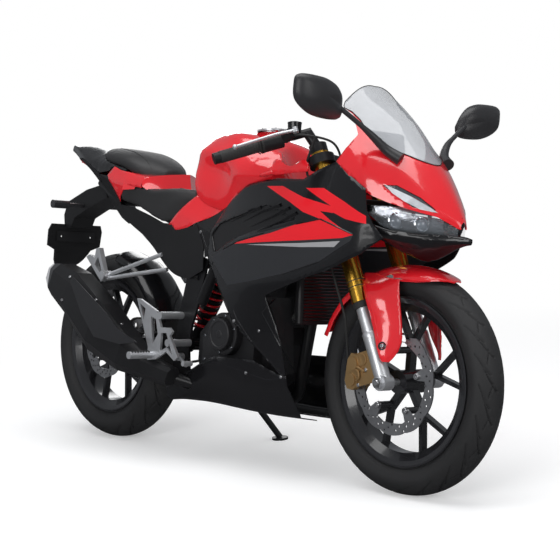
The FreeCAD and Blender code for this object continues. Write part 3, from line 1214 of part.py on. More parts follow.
right_fairing = right_fairing.cut(vent_room)
recess = axis_y * (size.panel_wall - size.seam)
vent_skin = shell_loft([[p + recess for p in points] for points in side_sections], size.vent_depth, [1, 2, 3, 4, 5, 6])
vent_shape = vent_skin.common(vent_room)
steer_sweep = steer_cylinder(0, 0, 0, 2 * size.fork_tube_top,
                             math.hypot(size.fork_spacing / 2 + size.fork_tube_radius, size.fork_offset) + 0.6 * size.overrun)
right_fairing = right_fairing.cut(steer_sweep).cut(frame_shape).cut(tank_shape)
belly_right = side_skin.common(prism([p - axis_z * size.seam for p in fairing.side(belly_shares)], -reach, reach))
belly_right = belly_right.cut(frame_shape)
piece("side_fairings", with_mirror(right_fairing))
vent_shape = vent_shape.cut(right_fairing).cut(tank_shape).cut(frame_shape)
panel_shape = tail_skin.common(prism(tail.side(panel_shares), -reach, reach))
panel_shape = panel_shape.cut(frame_shape).cut(tank_shape).cut(right_fairing).cut(trim_shape).cut(side_cover_shape)
panel_shape = max(panel_shape.Solids, key=lambda one: one.Volume)

# inner panels that face the front wheel, from the fairing's front edge inward
inner_rows = [
    (0.472, (0.47, -0.904), (0.486, -0.721), (0.495, -0.5)),
    (0.362, (0.526, -0.885), (0.514, -0.721), (0.5, -0.5)),
    (0.3, (0.54, -0.865), (0.521, -0.702), (0.502, -0.5)),
    (0.183, (0.547, -0.779), (0.526, -0.654), (0.505, -0.481)),
]
inner_shape = shell_loft(fairing.levels(inner_rows), -size.panel_wall, [1], axis_z)
inner_shape = inner_shape.cut(right_fairing).cut(frame_shape).cut(engine_shape).cut(radiator)
piece("fairing_inserts", together(with_mirror(vent_shape), with_mirror(panel_shape), with_mirror(inner_shape)))
pipe_line = exhaust.points([
    (0.991, 0.0, 0.818), (1.023, 0.0, 0.705), (0.991, -0.083, 0.114), (0.764, -0.292, 0.1),
    (0.69, -0.417, 0.132), (0.616, -0.625, 0.186),
])
pipe = tube_along(pipe_line, size.exhaust_pipe_radius, size.exhaust_pipe_radius * 2)
pipe_room = tube_along(pipe_line, size.exhaust_pipe_radius + size.exhaust_wall, size.exhaust_pipe_radius * 2)
stand_room = cylinder(stand_pivot - fold_axis * (3 * size.stand_eye_radius), fold_axis, 2 * size.stand_boss_radius,
                      6 * size.stand_eye_radius)
belly_shape = Part.makeCompound([belly_right.cut(pipe_room), across(belly_right).cut(stand_room)])
piece("belly_pan", belly_shape)

# nose: one bubble-shaped skin gives the screen, the cowl, the lamps' slots
nose_rows = [
    (0.053, (0.0, 1.008), (0.265, 0.996), (0.529, 0.938), (0.729, 0.877), (0.835, 0.772), (0.929,
        0.648), (0.988, 0.562), (0.988, 0.412), (0.929, 0.267)),
    (0.253, (0.0, 0.885), (0.265, 0.868), (0.494, 0.819), (0.659, 0.765), (0.776, 0.7), (0.906,
        0.617), (0.959, 0.539), (0.971, 0.416), (0.882, 0.257)),
    (0.426, (0.0, 0.757), (0.224, 0.743), (0.4, 0.7), (0.541, 0.65), (0.671, 0.613), (0.794, 0.56),
        (0.882, 0.494), (0.906, 0.383), (0.8, 0.251)),
    (0.559, (0.0, 0.642), (0.165, 0.632), (0.282, 0.611), (0.365, 0.593), (0.494, 0.56), (0.624,
        0.506), (0.718, 0.442), (0.753, 0.342), (0.647, 0.226)),
    (0.691, (0.0, 0.525), (0.106, 0.519), (0.188, 0.506), (0.259, 0.49), (0.353, 0.461), (0.459,
        0.42), (0.541, 0.37), (0.576, 0.305), (0.471, 0.206)),
    (0.811, (0.0, 0.395), (0.059, 0.391), (0.106, 0.383), (0.153, 0.37), (0.212, 0.354), (0.271,
        0.329), (0.318, 0.305), (0.318, 0.272), (0.259, 0.206)),
    (0.92, (0.0, 0.255), (0.018, 0.253), (0.035, 0.249), (0.047, 0.245), (0.059, 0.241), (0.071,
        0.235), (0.076, 0.228), (0.076, 0.218), (0.065, 0.206)),
]
nose_sections = [both_sides(points) for points in cowl.sections(nose_rows)]
nose_skin = shell_loft(nose_sections, size.panel_wall, [1, 2, 3, 5, 8, 11, 13, 14, 15])
reach = 2 * size.cowl_half_width
screen_shares = [
    (-0.027, 1.029), (0.077, 0.862), (0.138, 0.84), (0.213, 0.794), (0.309, 0.708), (0.402, 0.65),
    (0.553, 0.597), (0.665, 0.551), (0.771, 0.638), (0.319, 1.029),
]
cowl_shares = [
    (0.122, 0.564), (0.207, 0.648), (0.245, 0.708), (0.154, 0.823), (0.077, 0.862), (0.138, 0.84),
    (0.213, 0.794), (0.309, 0.708), (0.402, 0.65), (0.553, 0.597), (0.665, 0.551), (0.984, 0.309),
    (0.941, 0.206), (0.904, 0.214), (0.809, 0.272), (0.681, 0.305), (0.537, 0.344), (0.42, 0.385),
]
slot_shares = [
    (0.5, 0.432), (0.585, 0.432), (0.718, 0.37), (0.798, 0.313), (0.803, 0.292), (0.686, 0.319),
]
lens_shares = [
    (0.508, 0.43), (0.585, 0.428), (0.715, 0.366), (0.793, 0.311), (0.795, 0.296), (0.686, 0.325),
]
screen_shape = nose_skin.common(prism(cowl.side(screen_shares), -reach, 2 * reach))
below_screen = prism([p - axis_z * size.seam for p in cowl.side(cowl_shares)], -reach, 2 * reach)
cowl_full = nose_skin.common(below_screen)
slot_prism = prism(cowl.side(slot_shares), -reach, 2 * reach)
cowl_shape = cowl_full.cut(slot_prism).cut(right_fairing).cut(across(right_fairing)).cut(screen_shape)
piece("upper_cowl", cowl_shape)
piece("windscreen", screen_shape)
lens_shape = nose_skin.common(prism(cowl.side(lens_shares), -reach, 2 * reach))

# headlamps under the brow, and the black beak below them
lamp_rows = [
    (0.388, (0.882, 0.333), (0.906, 0.284), (0.8, 0.169)),
    (0.532, (0.694, 0.325), (0.718, 0.272), (0.612, 0.177)),
    (0.691, (0.471, 0.3), (0.506, 0.259), (0.388, 0.169)),
    (0.824, (0.212, 0.259), (0.247, 0.235), (0.2, 0.165)),
    (0.915, (0.059, 0.226), (0.076, 0.21), (0.053, 0.16)),
]
lamp_sections = [[V(p.x, -p.y, p.z) for p in points][::-1] for points in cowl.sections(lamp_rows)]
lamp_skin = shell_loft(lamp_sections, size.lens_wall, [1])
lamp_shares = [
    (0.41, 0.288), (0.532, 0.333), (0.686, 0.3), (0.803, 0.263), (0.904, 0.21), (0.894, 0.167),
    (0.559, 0.189), (0.468, 0.226),
]
lamp_shape = lamp_skin.common(prism(cowl.side(lamp_shares), -reach, reach)).cut(cowl_shape)
piece("front_lamps", together(lens_shape, with_mirror(lamp_shape)))
beak_rows = [
    (0.426, (0.0, 0.103), (0.412, 0.123), (0.776, 0.169), (0.788, 0.226)),
    (0.678, (0.0, 0.045), (0.271, 0.086), (0.494, 0.152), (0.471, 0.185)),
    (0.824, (0.0, 0.091), (0.153, 0.115), (0.259, 0.148), (0.235, 0.179)),
    (0.989, (0.0, 0.13), (0.018, 0.136), (0.029, 0.144), (0.029, 0.16)),
]
beak_skin = shell_loft([both_sides(points)[::-1] for points in cowl.sections(beak_rows)], size.panel_wall, [1, 2, 3, 4, 5])
beak_shape = beak_skin.cut(right_fairing).cut(across(right_fairing)).cut(lamp_shape).cut(across(lamp_shape))
piece("beak", beak_shape)

# instrument and the tubular stay that carries cowl, lamps and beak
dash_shares = [
    (0.053, 0.638), (0.112, 0.757), (0.165, 0.745), (0.181, 0.638), (0.133, 0.605),
]
dash = prism(cowl.side(dash_shares), -size.cowl_half_width * 0.45, size.cowl_half_width * 0.9)
stay_spots = cowl.points([
    (-0.186, 0.0, 0.374), (0.226, 0.0, 0.354), (0.149, 0.0, 0.621), (0.226, 0.988, 0.354),
    (0.532, 0.753, 0.226), (0.596, 0.0, 0.037), (0.426, 0.824, 0.648),
])
hub_spot, front_spot, dash_spot, side_spot, lamp_spot, beak_spot, mirror_spot = stay_spots
tubes_of_stay = [
    bar(hub_spot, front_spot, size.stay_radius), bar(front_spot, dash_spot, size.stay_radius),
    bar(V(front_spot.x, -side_spot.y, front_spot.z), side_spot, size.stay_radius), bar(front_spot, beak_spot, size.stay_radius),
]
for spot in (lamp_spot, mirror_spot):
    for side in (-1, 1):
        root = V(side_spot.x, side * side_spot.y * 0.75, side_spot.z)
        tubes_of_stay.append(bar(root, V(spot.x, side * spot.y, spot.z), size.stay_radius))
neighbours = [cowl_shape, screen_shape, right_fairing, across(right_fairing), lamp_shape, across(lamp_shape), beak_shape, dash, frame_shape]
stay_shape = whole(*tubes_of_stay)
for other in neighbours:
    stay_shape = stay_shape.cut(other)
stay_shape = max(stay_shape.Solids, key=lambda one: one.Volume)
piece("dash", dash)
piece("cowl_stay", stay_shape)

# mirrors
mirror_face = [
    (0.08, 0.582, 0.64), (0.1, 0.608, 0.53), (0.1, 0.675, 0.49), (0.12, 0.866, 0.53),
    (0.16, 1.008, 0.7), (0.18, 1.01, 0.95), (0.2, 0.974, 1.0), (0.22, 0.745, 0.98), (0.2, 0.665, 0.91),
    (0.16, 0.598, 0.76),
]
face = mirror.points(mirror_face)
middle = sum(face, V(0, 0, 0)) * (1.0 / len(face))


def mirror_ring(ahead_share, scale_share):
    """The head's outline, moved ahead and drawn in towards its middle."""
    ring = [V(middle.x + size.mirror_thickness * ahead_share, middle.y + (p.y - middle.y) * scale_share,
              middle.z + (p.z - middle.z) * scale_share) for p in face]
    return Part.makePolygon(ring + ring[:1])


shell = Part.makeLoft([mirror_ring(0, 0.97), mirror_ring(0.14, 1), mirror_ring(0.6, 0.9), mirror_ring(1, 0.55)], True, True)
stem_points = mirror.points([
    (1.22, 0.201, -0.04), (0.6, 0.314, 0.225), (0.32, 0.619, 0.65),
])
stem_top = V(middle.x + size.mirror_thickness * 0.45, stem_points[2].y + size.overrun / 2, stem_points[2].z)
stem_bar = whole(bar(stem_points[1], stem_top, size.mirror_stem_radius), Part.makeSphere(size.mirror_stem_radius, stem_points[1]))
foot_lines = mirror.points([
    (1.24, 0.191, -0.04), (0.3, 0.304, 0.31), (0.58, 0.345, 0.14),
])
lift = (V(0, 1, 0) * 0.75 + V(0.35, 0, 0.55)).normalize() * (2 * size.mirror_stem_radius)
foot = slab([p - lift * 0.5 for p in foot_lines], lift)
mirror_shape = whole(shell, stem_bar, foot).cut(cowl_shape).cut(screen_shape)
mirror_shape = max(mirror_shape.Solids, key=lambda one: one.Volume)
piece("mirrors", with_mirror(mirror_shape))

# exhaust on the right
piece("exhaust_pipe", pipe.cut(engine_shape).cut(frame_shape))


def box_section(x, z, half_y, half_z, slope_share):
    """An eight-sided silencer section around a point of its axis."""
    y = -size.exhaust_half_width * 0.73
    cut = 0.45
    corners = [(-1, -1 + cut), (-1 + cut, -1), (1 - cut, -1), (1, -1 + cut), (1, 1 - cut), (1 - cut, 1),
               (-1 + cut, 1), (-1, 1 - cut)]
    return [V(x + b * half_z * slope_share, y + a * half_y, z + b * half_z) for a, b in corners]


muffler_shares = [
    (0.634, 0.195), (0.523, 0.245), (0.431, 0.318), (0.292, 0.489), (0.153, 0.723), (0.065, 0.818),
]
half_shares = [(0.09, 0.06), (0.13, 0.075), (0.2, 0.12), (0.24, 0.17), (0.22, 0.15), (0.2, 0.12)]
sections = []
for spot, (half_y, half_z) in zip(exhaust.side(muffler_shares), half_shares):
    sections.append(box_section(spot.x, spot.z, half_y * size.exhaust_half_width, half_z * size.exhaust_height, 0.5))
loops = [Part.makePolygon(points + points[:1]) for points in sections]
muffler_shape = Part.makeLoft(loops, True, True)
piece("muffler", muffler_shape.cut(frame_shape).cut(pipe))
last = sections[-1]
middle = sum(last, V(0, 0, 0)) * (1.0 / len(last))
shift = V(-size.exhaust_pipe_radius * 3, 0, size.exhaust_pipe_radius * 1.2)
small = [middle + (p - middle) * 0.6 + shift for p in last]
moved = [p - axis_x * size.seam for p in last]
end_cap = Part.makeLoft([Part.makePolygon(moved + moved[:1]), Part.makePolygon(small + small[:1])], True, True)
shield_shares = [
    (0.194, 0.818), (0.21, 0.845), (0.385, 0.607), (0.448, 0.495), (0.542, 0.42), (0.459, 0.393),
    (0.329, 0.425), (0.256, 0.593),
]
outer_y = -size.exhaust_half_width * 0.99
shield = prism(exhaust.side(shield_shares), outer_y, size.shield_wall)
posts = [cylinder(V(spot.x, outer_y, spot.z), axis_y, size.shield_wall * 2, size.shield_gap * 3)
         for spot in exhaust.side([
    (0.271, 0.639), (0.429, 0.461),
])]
piece("muffler_trim", together(whole(shield, *posts).cut(muffler_shape), end_cap))

# rear mudguard with the number plate's bracket
arm_shares = [
    (0.141, 0.8), (0.213, 0.821), (0.224, 0.765), (0.153, 0.727), (0.093, 0.688), (0.079, 0.647),
    (0.053, 0.647), (0.049, 0.7), (0.063, 0.753),
]
rear_guard = prism(chassis.side(arm_shares), -size.tail_half_width * 0.33, size.tail_half_width * 0.66)
flap_outline = chassis.points([
    (0.053, 0.0, 0.661), (0.053, -0.417, 0.661), (0.049, -0.458, 0.635), (0.045, -0.45, 0.572),
    (0.039, -0.308, 0.555), (0.023, -0.242, 0.513), (0.004, -0.167, 0.489), (0.003, 0.0, 0.486),
])
flap_bend = chassis.side([
    (0.056, 0.666), (0.052, 0.635), (0.046, 0.567), (0.037, 0.544), (0.02, 0.506), (0.003, 0.482),
    (0.007, 0.478), (0.025, 0.502), (0.043, 0.541), (0.051, 0.567), (0.057, 0.635), (0.061, 0.666),
])
flap_front = [V(0, p.y, p.z) for p in flap_outline] + [V(0, -p.y, p.z) for p in flap_outline[-2:0:-1]]
flap_face = slab([p + axis_x * (chassis.x - size.overrun) for p in flap_front], axis_x * (6 * size.overrun))
flap = prism(flap_bend, -size.frame_half_width, 2 * size.frame_half_width).common(flap_face)
plate = Part.makeBox(size.plate_depth, size.plate_bore_spacing * 1.3, size.plate_bore_spacing * 0.3,
                     V(size.plate_x, -size.plate_bore_spacing * 0.65, size.plate_z - size.plate_bore_spacing * 0.15))
bores = [cylinder(V(size.plate_x - size.overrun / 2, side * size.plate_bore_spacing / 2, size.plate_z), axis_x,
                  size.plate_bore_radius, size.overrun) for side in (-1, 1)]
nut_rooms = [cylinder(V(size.plate_x - size.overrun, side * size.plate_bore_spacing / 2, size.plate_z), axis_x,
                      3 * size.plate_bore_radius, size.overrun) for side in (-1, 1)]
rear_guard = whole(whole(rear_guard, flap).cut(Part.makeCompound(nut_rooms)), plate).cut(Part.makeCompound(bores)).cut(under_shape).cut(hump_shape).cut(rail_shape)
piece("rear_mudguard", rear_guard)
lamp_side_shares = [
    (0.017, 0.942), (0.094, 0.877), (0.26, 0.684), (0.278, 0.714), (0.122, 0.903),
]
tail_lamp = prism(tail.side(lamp_side_shares), -size.tail_half_width * 0.5, size.tail_half_width)
tail_lens = tail_lamp.cut(tail_skin).common(solid_loft([both_sides(points)[::-1] for points in tail.sections(tail_rows)], [1, 2, 3, 4, 6, 7, 8, 9])).cut(rail_shape)
stalks = []
for side in (-1, 1):
    root = V(chassis.x + 0.13 * chassis.length, side * size.tail_half_width * 0.33, chassis.z + 0.735 * chassis.height)
    root = root + axis_y * (side * size.seam)
    stalk = bar(root, root + axis_y * (side * size.indicator_length), size.indicator_stalk_radius)
    lens = bar(root + axis_y * (side * size.indicator_length), root + axis_y * (side * size.indicator_length * 2), size.indicator_stalk_radius * 2)
    stalks.append(whole(stalk, lens))
piece("rear_lamps", together(tail_lens, *stalks))

# footrests and their hangers
hanger_shares = [
    (0.498, 0.382), (0.51, 0.381), (0.567, 0.341), (0.581, 0.285), (0.609, 0.287), (0.619, 0.274),
    (0.611, 0.259), (0.639, 0.188), (0.627, 0.174), (0.6, 0.202), (0.567, 0.172), (0.539, 0.166),
    (0.54, 0.212), (0.52, 0.294),
]
hanger_windows = [[
    (0.509, 0.365), (0.528, 0.348), (0.523, 0.308),
], [
    (0.547, 0.322), (0.564, 0.313), (0.572, 0.261), (0.555, 0.224),
],
                  [
    (0.583, 0.266), (0.6, 0.268), (0.621, 0.193), (0.603, 0.219), (0.58, 0.202),
]]
hanger_y = -size.exhaust_half_width * 0.84
hanger = prism(chassis.side(hanger_shares), hanger_y, size.plate_thickness)
for window in hanger_windows:
    hanger = hanger.cut(prism(chassis.side(window), hanger_y - size.overrun, 2 * size.overrun))
stand_offs = [cylinder(V(spot.x, hanger_y, spot.z), axis_y, size.rail_radius, -size.frame_half_width - hanger_y)
              for spot in chassis.side([
    (0.576, 0.327), (0.603, 0.233),
])]
peg_root = V(chassis.x + 0.553 * chassis.length, hanger_y, chassis.z + 0.186 * chassis.height)
peg = cylinder(peg_root, -axis_y, size.peg_radius, size.peg_length)
hanger = whole(hanger, *stand_offs)
right = whole(hanger, peg).cut(frame_shape).cut(muffler_shape)
bracket_lines = [
    chassis.points([
    (0.499, -0.467, 0.544), (0.353, -0.692, 0.459),
]),
    chassis.points([
    (0.52, -0.483, 0.489), (0.353, -0.692, 0.447),
]),
]
brackets = [bar(points[0], points[1], size.rail_radius * 0.6) for points in bracket_lines]
knob = cylinder(bracket_lines[0][1] + axis_y * size.rail_radius, -axis_y, size.rail_radius * 1.3, 3 * size.rail_radius)
hinge_spot = bracket_lines[0][1]
fold_shares = [
    (0.341, 0.435), (0.359, 0.445), (0.332, 0.562), (0.32, 0.56), (0.315, 0.525), (0.293, 0.536),
    (0.283, 0.527),
]
fold_window = [
    (0.337, 0.466), (0.345, 0.466), (0.328, 0.529), (0.315, 0.499),
]
folded = prism(chassis.side(fold_shares), hinge_spot.y - size.peg_radius, 2 * size.peg_radius * 0.7)
folded = folded.cut(prism(chassis.side(fold_window), hinge_spot.y - 2 * size.peg_radius, 4 * size.peg_radius))
bracket = whole(knob, folded, *brackets).cut(side_cover_shape).cut(rail_shape).cut(frame_shape)
bracket = max(bracket.Solids, key=lambda one: one.Volume)
piece("footrests", together(with_mirror(right), with_mirror(bracket)))
doc.recompute()
for made in doc.Objects:
    if hasattr(made, "Shape"):
        shape = made.Shape
        if shape.isNull() or not shape.isValid():
            raise ValueError(made.Name + " has no valid shape")
        if any(word in made.State for word in ("Invalid", "Error")):
            raise ValueError(made.Name + " did not compute")
for made in pieces:
    made.Shape.exportStep("parts/" + made.Label + ".step")
    print(made.Label, len(made.Shape.Solids), round(made.Shape.Volume))
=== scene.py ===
# %% [markdown]
# A faired sport motorcycle on its side stand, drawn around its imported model.
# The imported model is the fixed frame. Its nodes get materials, and finer pieces stand for some of them.
# %%
import math

import bmesh
import bpy
import numpy as np
from mathutils import Matrix, Vector, geometry
from mathutils.bvhtree import BVHTree


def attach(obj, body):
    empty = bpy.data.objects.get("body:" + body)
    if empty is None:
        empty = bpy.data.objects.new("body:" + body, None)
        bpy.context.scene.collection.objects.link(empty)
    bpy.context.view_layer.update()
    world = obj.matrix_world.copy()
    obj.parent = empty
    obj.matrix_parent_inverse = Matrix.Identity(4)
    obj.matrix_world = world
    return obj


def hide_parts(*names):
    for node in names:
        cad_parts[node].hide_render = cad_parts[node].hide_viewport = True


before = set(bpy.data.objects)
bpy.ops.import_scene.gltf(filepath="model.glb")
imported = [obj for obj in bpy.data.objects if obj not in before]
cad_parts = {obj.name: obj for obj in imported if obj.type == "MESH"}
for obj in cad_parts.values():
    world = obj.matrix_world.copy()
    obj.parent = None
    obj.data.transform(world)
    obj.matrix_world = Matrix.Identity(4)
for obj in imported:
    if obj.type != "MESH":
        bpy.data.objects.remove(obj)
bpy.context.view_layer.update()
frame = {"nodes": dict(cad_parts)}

nodes = frame["nodes"]

# %% [markdown]
# The machine leans on its stand. Places are easier to give upright, so every place below is in
# millimetres on the upright machine: x forward from the rear axle, y to its left, z up from the road.
# One matrix then sets the upright place down in the leaning world.
# %%
MM = 0.001
LEAN = math.radians(7.5)
ROW_CENTRE = Vector((0.6155, 0.1356, -0.0006))
LEANING = Matrix.Translation(-ROW_CENTRE) @ Matrix.Rotation(-LEAN, 4, "X")
UPRIGHT = LEANING.inverted()


def place(x, y, z):
    """World place, in metres, of an upright place in millimetres."""
    return LEANING @ Vector((x * MM, y * MM, z * MM))


def aim(x, y, z):
    """World direction of an upright direction."""
    return (LEANING.to_3x3() @ Vector((x, y, z))).normalized()


print("rear axle at", place(0, 0, 307), "front axle at", place(1311, 0, 296))

# %% [markdown]
# The camera stands low ahead of the right side, as in the photograph, with a long lens.
# %%
PICTURE = 560
SENSOR = 36
EYE_PIXELS = 1283.54
EYE = (3569.93, -2505.49, 576.45)
EYE_RIGHT = (0.66921629, 0.74231959, 0.03333451)
EYE_UP = (-0.02823944, -0.01942106, 0.99941251)
EYE_FORWARD = (-0.74253087, 0.66976448, -0.0079658)
FAR_CLIP = 60
scene = bpy.context.scene
camera = bpy.data.objects.new("camera", bpy.data.cameras.new("camera"))
scene.collection.objects.link(camera)
turn = Matrix((aim(*EYE_RIGHT), aim(*EYE_UP), -aim(*EYE_FORWARD))).transposed()
camera.matrix_world = Matrix.Translation(place(*EYE)) @ turn.to_4x4()
camera.data.sensor_width = SENSOR
camera.data.lens = EYE_PIXELS * SENSOR / PICTURE
camera.data.clip_end = FAR_CLIP
scene.camera = camera
scene.render.resolution_x = PICTURE
scene.render.resolution_y = PICTURE
scene.view_settings.view_transform = "Standard"
print("lens", round(camera.data.lens, 2))

# %% [markdown]
# Outlines of the graphics and places of small fasteners are named by where the photograph shows them, in
# its pixels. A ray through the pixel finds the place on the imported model, in upright millimetres.
# %%
FAR_OUT = 500
FAR_ABOVE = 1400
SKIN_NODES = ("side_fairings", "fairing_inserts", "belly_pan", "upper_cowl", "fuel_tank", "tank_panels")


def surface_of(*names):
    """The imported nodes' surfaces as one tree for rays, in world places."""
    spots, faces = [], []
    for name in names:
        node = nodes[name]
        start = len(spots)
        spots += [node.matrix_world @ v.co for v in node.data.vertices]
        faces += [tuple(i + start for i in face.vertices) for face in node.data.polygons]
    return BVHTree.FromPolygons(spots, faces)


def upright_of(spot):
    """Upright place, in millimetres, of a world place."""
    return (UPRIGHT @ spot) / MM


def points_of(name):
    """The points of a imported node, upright."""
    return [upright_of(nodes[name].matrix_world @ v.co) for v in nodes[name].data.vertices]


def met(surface, start, direction):
    """Where an upright ray first meets a surface: the place and its outward direction, or None."""
    spot, normal, index, away = surface.ray_cast(place(*start), aim(*direction))
    return None if spot is None else (upright_of(spot), UPRIGHT.to_3x3() @ normal)


def seen_at(surface, column, row):
    """Where the photograph's pixel lies on a surface."""
    right, up, ahead = (Vector(v) for v in (EYE_RIGHT, EYE_UP, EYE_FORWARD))
    over, down = (column - PICTURE / 2) / EYE_PIXELS, (row - PICTURE / 2) / EYE_PIXELS
    return met(surface, EYE, ahead + right * over - up * down)


def across_at(surface, x, z, side=-1):
    """Where a line across the machine at x and z first meets a surface from one side."""
    return met(surface, (x, side * FAR_OUT, z), (0, -side, 0))


def top_at(surface, x, y):
    """Where a line straight down at x and y first meets a surface."""
    return met(surface, (x, y, FAR_ABOVE), (0, 0, -1))


SKINS = surface_of(*SKIN_NODES)
print("pixel 300, 230 lies at", seen_at(SKINS, 300, 230))

# %% [markdown]
# A small helper writes node trees. A node's inputs are plain values or the outputs of other nodes.
# %%


class Tree:
    """A node tree that grows one node at a time."""

    def __init__(self, tree):
        self.tree = tree
        self.tree.nodes.clear()

    def add(self, kind, inputs=None, out=0, **settings):
        node = self.tree.nodes.new(kind)
        for key, value in settings.items():
            setattr(node, key, value)
        for key, value in (inputs or {}).items():
            self.feed(node.inputs[key], value)
        return node.outputs[out] if node.outputs else node

    def feed(self, socket, value):
        if isinstance(value, bpy.types.NodeSocket):
            self.tree.links.new(value, socket)
        else:
            socket.default_value = value

    def math(self, operation, a, b=0.0):
        return self.add("ShaderNodeMath", {0: a, 1: b}, operation=operation)

    def mix(self, share, a, b):
        return self.add("ShaderNodeMix", {0: share, 6: a, 7: b}, out=2, data_type="RGBA")

    def ramp(self, value, low, high, start=0.0, end=1.0):
        return self.add("ShaderNodeMapRange", {0: value, 1: low, 2: high, 3: start, 4: end})

    def noise(self, place, scale, detail=3.0, rough=0.5):
        return self.add("ShaderNodeTexNoise",
                        {"Vector": place, "Scale": scale, "Detail": detail, "Roughness": rough})

    def own(self):
        return self.add("ShaderNodeTexCoord", out=3)

    def upright(self):
        """Object coordinates turned back to the upright machine, in metres."""
        back = {"Vector": self.own(), "Location": tuple(-ROW_CENTRE), "Rotation": (-LEAN, 0, 0)}
        return self.add("ShaderNodeMapping", back, vector_type="TEXTURE")

    def polygon(self, place, points):
        """Signed distance inside a convex outline of x and z in millimetres, wound either way."""
        area = sum(p[0] * q[1] - q[0] * p[1] for p, q in zip(points, points[1:] + points[:1]))
        inside = None
        for p, q in zip(points, points[1:] + points[:1]):
            edge = Vector((q[0] - p[0], q[1] - p[1])).normalized() * (1 if area > 0 else -1)
            inward = (-edge.y, 0, edge.x)
            dot = self.add("ShaderNodeVectorMath", {0: place, 1: inward}, out=1, operation="DOT_PRODUCT")
            away = self.math("SUBTRACT", dot, (inward[0] * p[0] + inward[2] * p[1]) * MM)
            inside = away if inside is None else self.math("MINIMUM", inside, away)
        return inside

    def any_of(self, place, outlines):
        """One where a place is inside any of the outlines."""
        best = None
        for points in outlines:
            inside = self.polygon(place, points)
            best = inside if best is None else self.math("MAXIMUM", best, inside)
        return self.math("GREATER_THAN", best, 0.0)


def material(name, colour, rough, metal=0.0, coat=0.0, grain=600.0, grain_depth=0.02, mottle=0.12,
             blotch=9.0, rough_spread=0.1, build=None, **extra):
    """A finish with slow colour drift, fine grain in the bump and uneven roughness."""
    made = bpy.data.materials.new(name)
    made.use_nodes = True
    tree = Tree(made.node_tree)
    own = tree.own()
    drift = tree.noise(own, blotch, 4.0)
    fine = tree.noise(own, grain, 2.0, 0.6)
    dark = tuple(c * (1 - mottle) for c in colour) + (1,)
    light = tuple(min(1, c * (1 + mottle)) for c in colour) + (1,)
    base = tree.mix(tree.ramp(drift, 0.3, 0.7), dark, light)
    roughness = tree.ramp(drift, 0.25, 0.75, rough - rough_spread * rough, rough + rough_spread * rough)
    bump = tree.add("ShaderNodeBump", {"Height": fine, "Strength": grain_depth, "Distance": 0.001})
    sockets = {"Base Color": base, "Roughness": roughness, "Metallic": metal, "Coat Weight": coat,
               "Coat Roughness": 0.04, "Normal": bump}
    sockets.update(extra)
    if build:
        build(tree, sockets)
    shader = tree.add("ShaderNodeBsdfPrincipled", sockets)
    tree.add("ShaderNodeOutputMaterial", {0: shader})
    return made


# %% [markdown]
# The colours of the fairing follow outlines drawn on its side view, in upright millimetres.
# %%
RED = (0.70, 0.012, 0.02)
BLACK = (0.007, 0.007, 0.008)
SATIN = (0.020, 0.021, 0.024)
GREY = (0.30, 0.30, 0.31)
RED_BAND = [(267, 186), (283, 186), (303, 197), (331, 206), (333, 213), (320, 211), (330, 220), (353, 235),
            (342, 238), (305, 240), (231, 244), (270, 233), (297, 224), (320, 219), (303, 212), (290, 202)]
RED_TOP = [(306, 188), (324, 188), (345, 202), (366, 216), (366, 224), (345, 219), (334, 213), (327, 209),
           (331, 206)]
GREY_LINE = [(246, 244.6), (300, 243), (340, 241), (334, 247), (300, 247)]
SATIN_PANEL = [(211, 258), (240, 236), (262, 232), (297, 224), (320, 219), (353, 235), (350, 241), (318, 262),
               (285, 273), (250, 281), (227, 285)]


def cast_outline(pixels):
    """The outline's places on the skins as x and z, cut into triangles."""
    spots = [seen_at(SKINS, *pixel) for pixel in pixels]
    flat = [Vector((spot[0].x, spot[0].z)) for spot in spots if spot]
    triangles = geometry.tessellate_polygon([[p.to_3d() for p in flat]])
    return [[tuple(flat[i]) for i in corners] for corners in triangles]


FAIRING_RED = cast_outline(RED_BAND) + cast_outline(RED_TOP)
FAIRING_LINE = cast_outline(GREY_LINE)
FAIRING_SATIN = cast_outline(SATIN_PANEL)
print("triangles of the red bands", len(FAIRING_RED))


def fairing_paint(tree, sockets):
    side = tree.upright()
    satin = tree.any_of(side, FAIRING_SATIN)
    red = tree.any_of(side, FAIRING_RED)
    line = tree.any_of(side, FAIRING_LINE)
    plain = tree.mix(satin, (*BLACK, 1), (*SATIN, 1))
    sockets["Base Color"] = tree.mix(red, tree.mix(line, plain, (*GREY, 1)), (*RED, 1))
    matt = tree.math("MULTIPLY", satin, tree.math("SUBTRACT", 1.0, red))
    sockets["Roughness"] = tree.math("ADD", tree.math("MULTIPLY", matt, 0.22), 0.2)


SOFT_BLACK = (0.016, 0.016, 0.018)
CAP_SILVER = (0.80, 0.80, 0.81)
LENS_RED = (0.40, 0.008, 0.010)
CAP_START = -0.118
STALK_TOP = 0.832


def trim_paint(tree, sockets):
    """Black shield, bright cap behind it."""
    reach = tree.add("ShaderNodeSeparateXYZ", {0: tree.upright()}, out=0)
    cap = tree.math("LESS_THAN", reach, CAP_START)
    sockets["Base Color"] = tree.mix(cap, (*SOFT_BLACK, 1), (*CAP_SILVER, 1))
    sockets["Metallic"] = tree.math("MULTIPLY", cap, 0.55)


def lamp_paint(tree, sockets):
    """Red lens above, black indicator stalks below it."""
    level = tree.add("ShaderNodeSeparateXYZ", {0: tree.upright()}, out=2)
    stalk = tree.math("LESS_THAN", level, STALK_TOP)
    sockets["Base Color"] = tree.mix(stalk, (*LENS_RED, 1), (*SOFT_BLACK, 1))
    sockets["Roughness"] = tree.math("ADD", tree.math("MULTIPLY", stalk, 0.35), 0.08)


print("paint plans", [plan.__name__ for plan in (fairing_paint, trim_paint, lamp_paint)])

# %% [markdown]
# The finishes. Each has its colour, roughness, metal and coat, with its own grain.
# %%
DULL = {"Specular IOR Level": 0.35}
DULLER = {"Specular IOR Level": 0.3}
GLOWING = {"Emission Color": (0.9, 0.95, 1.0, 1), "Emission Strength": 0.25}


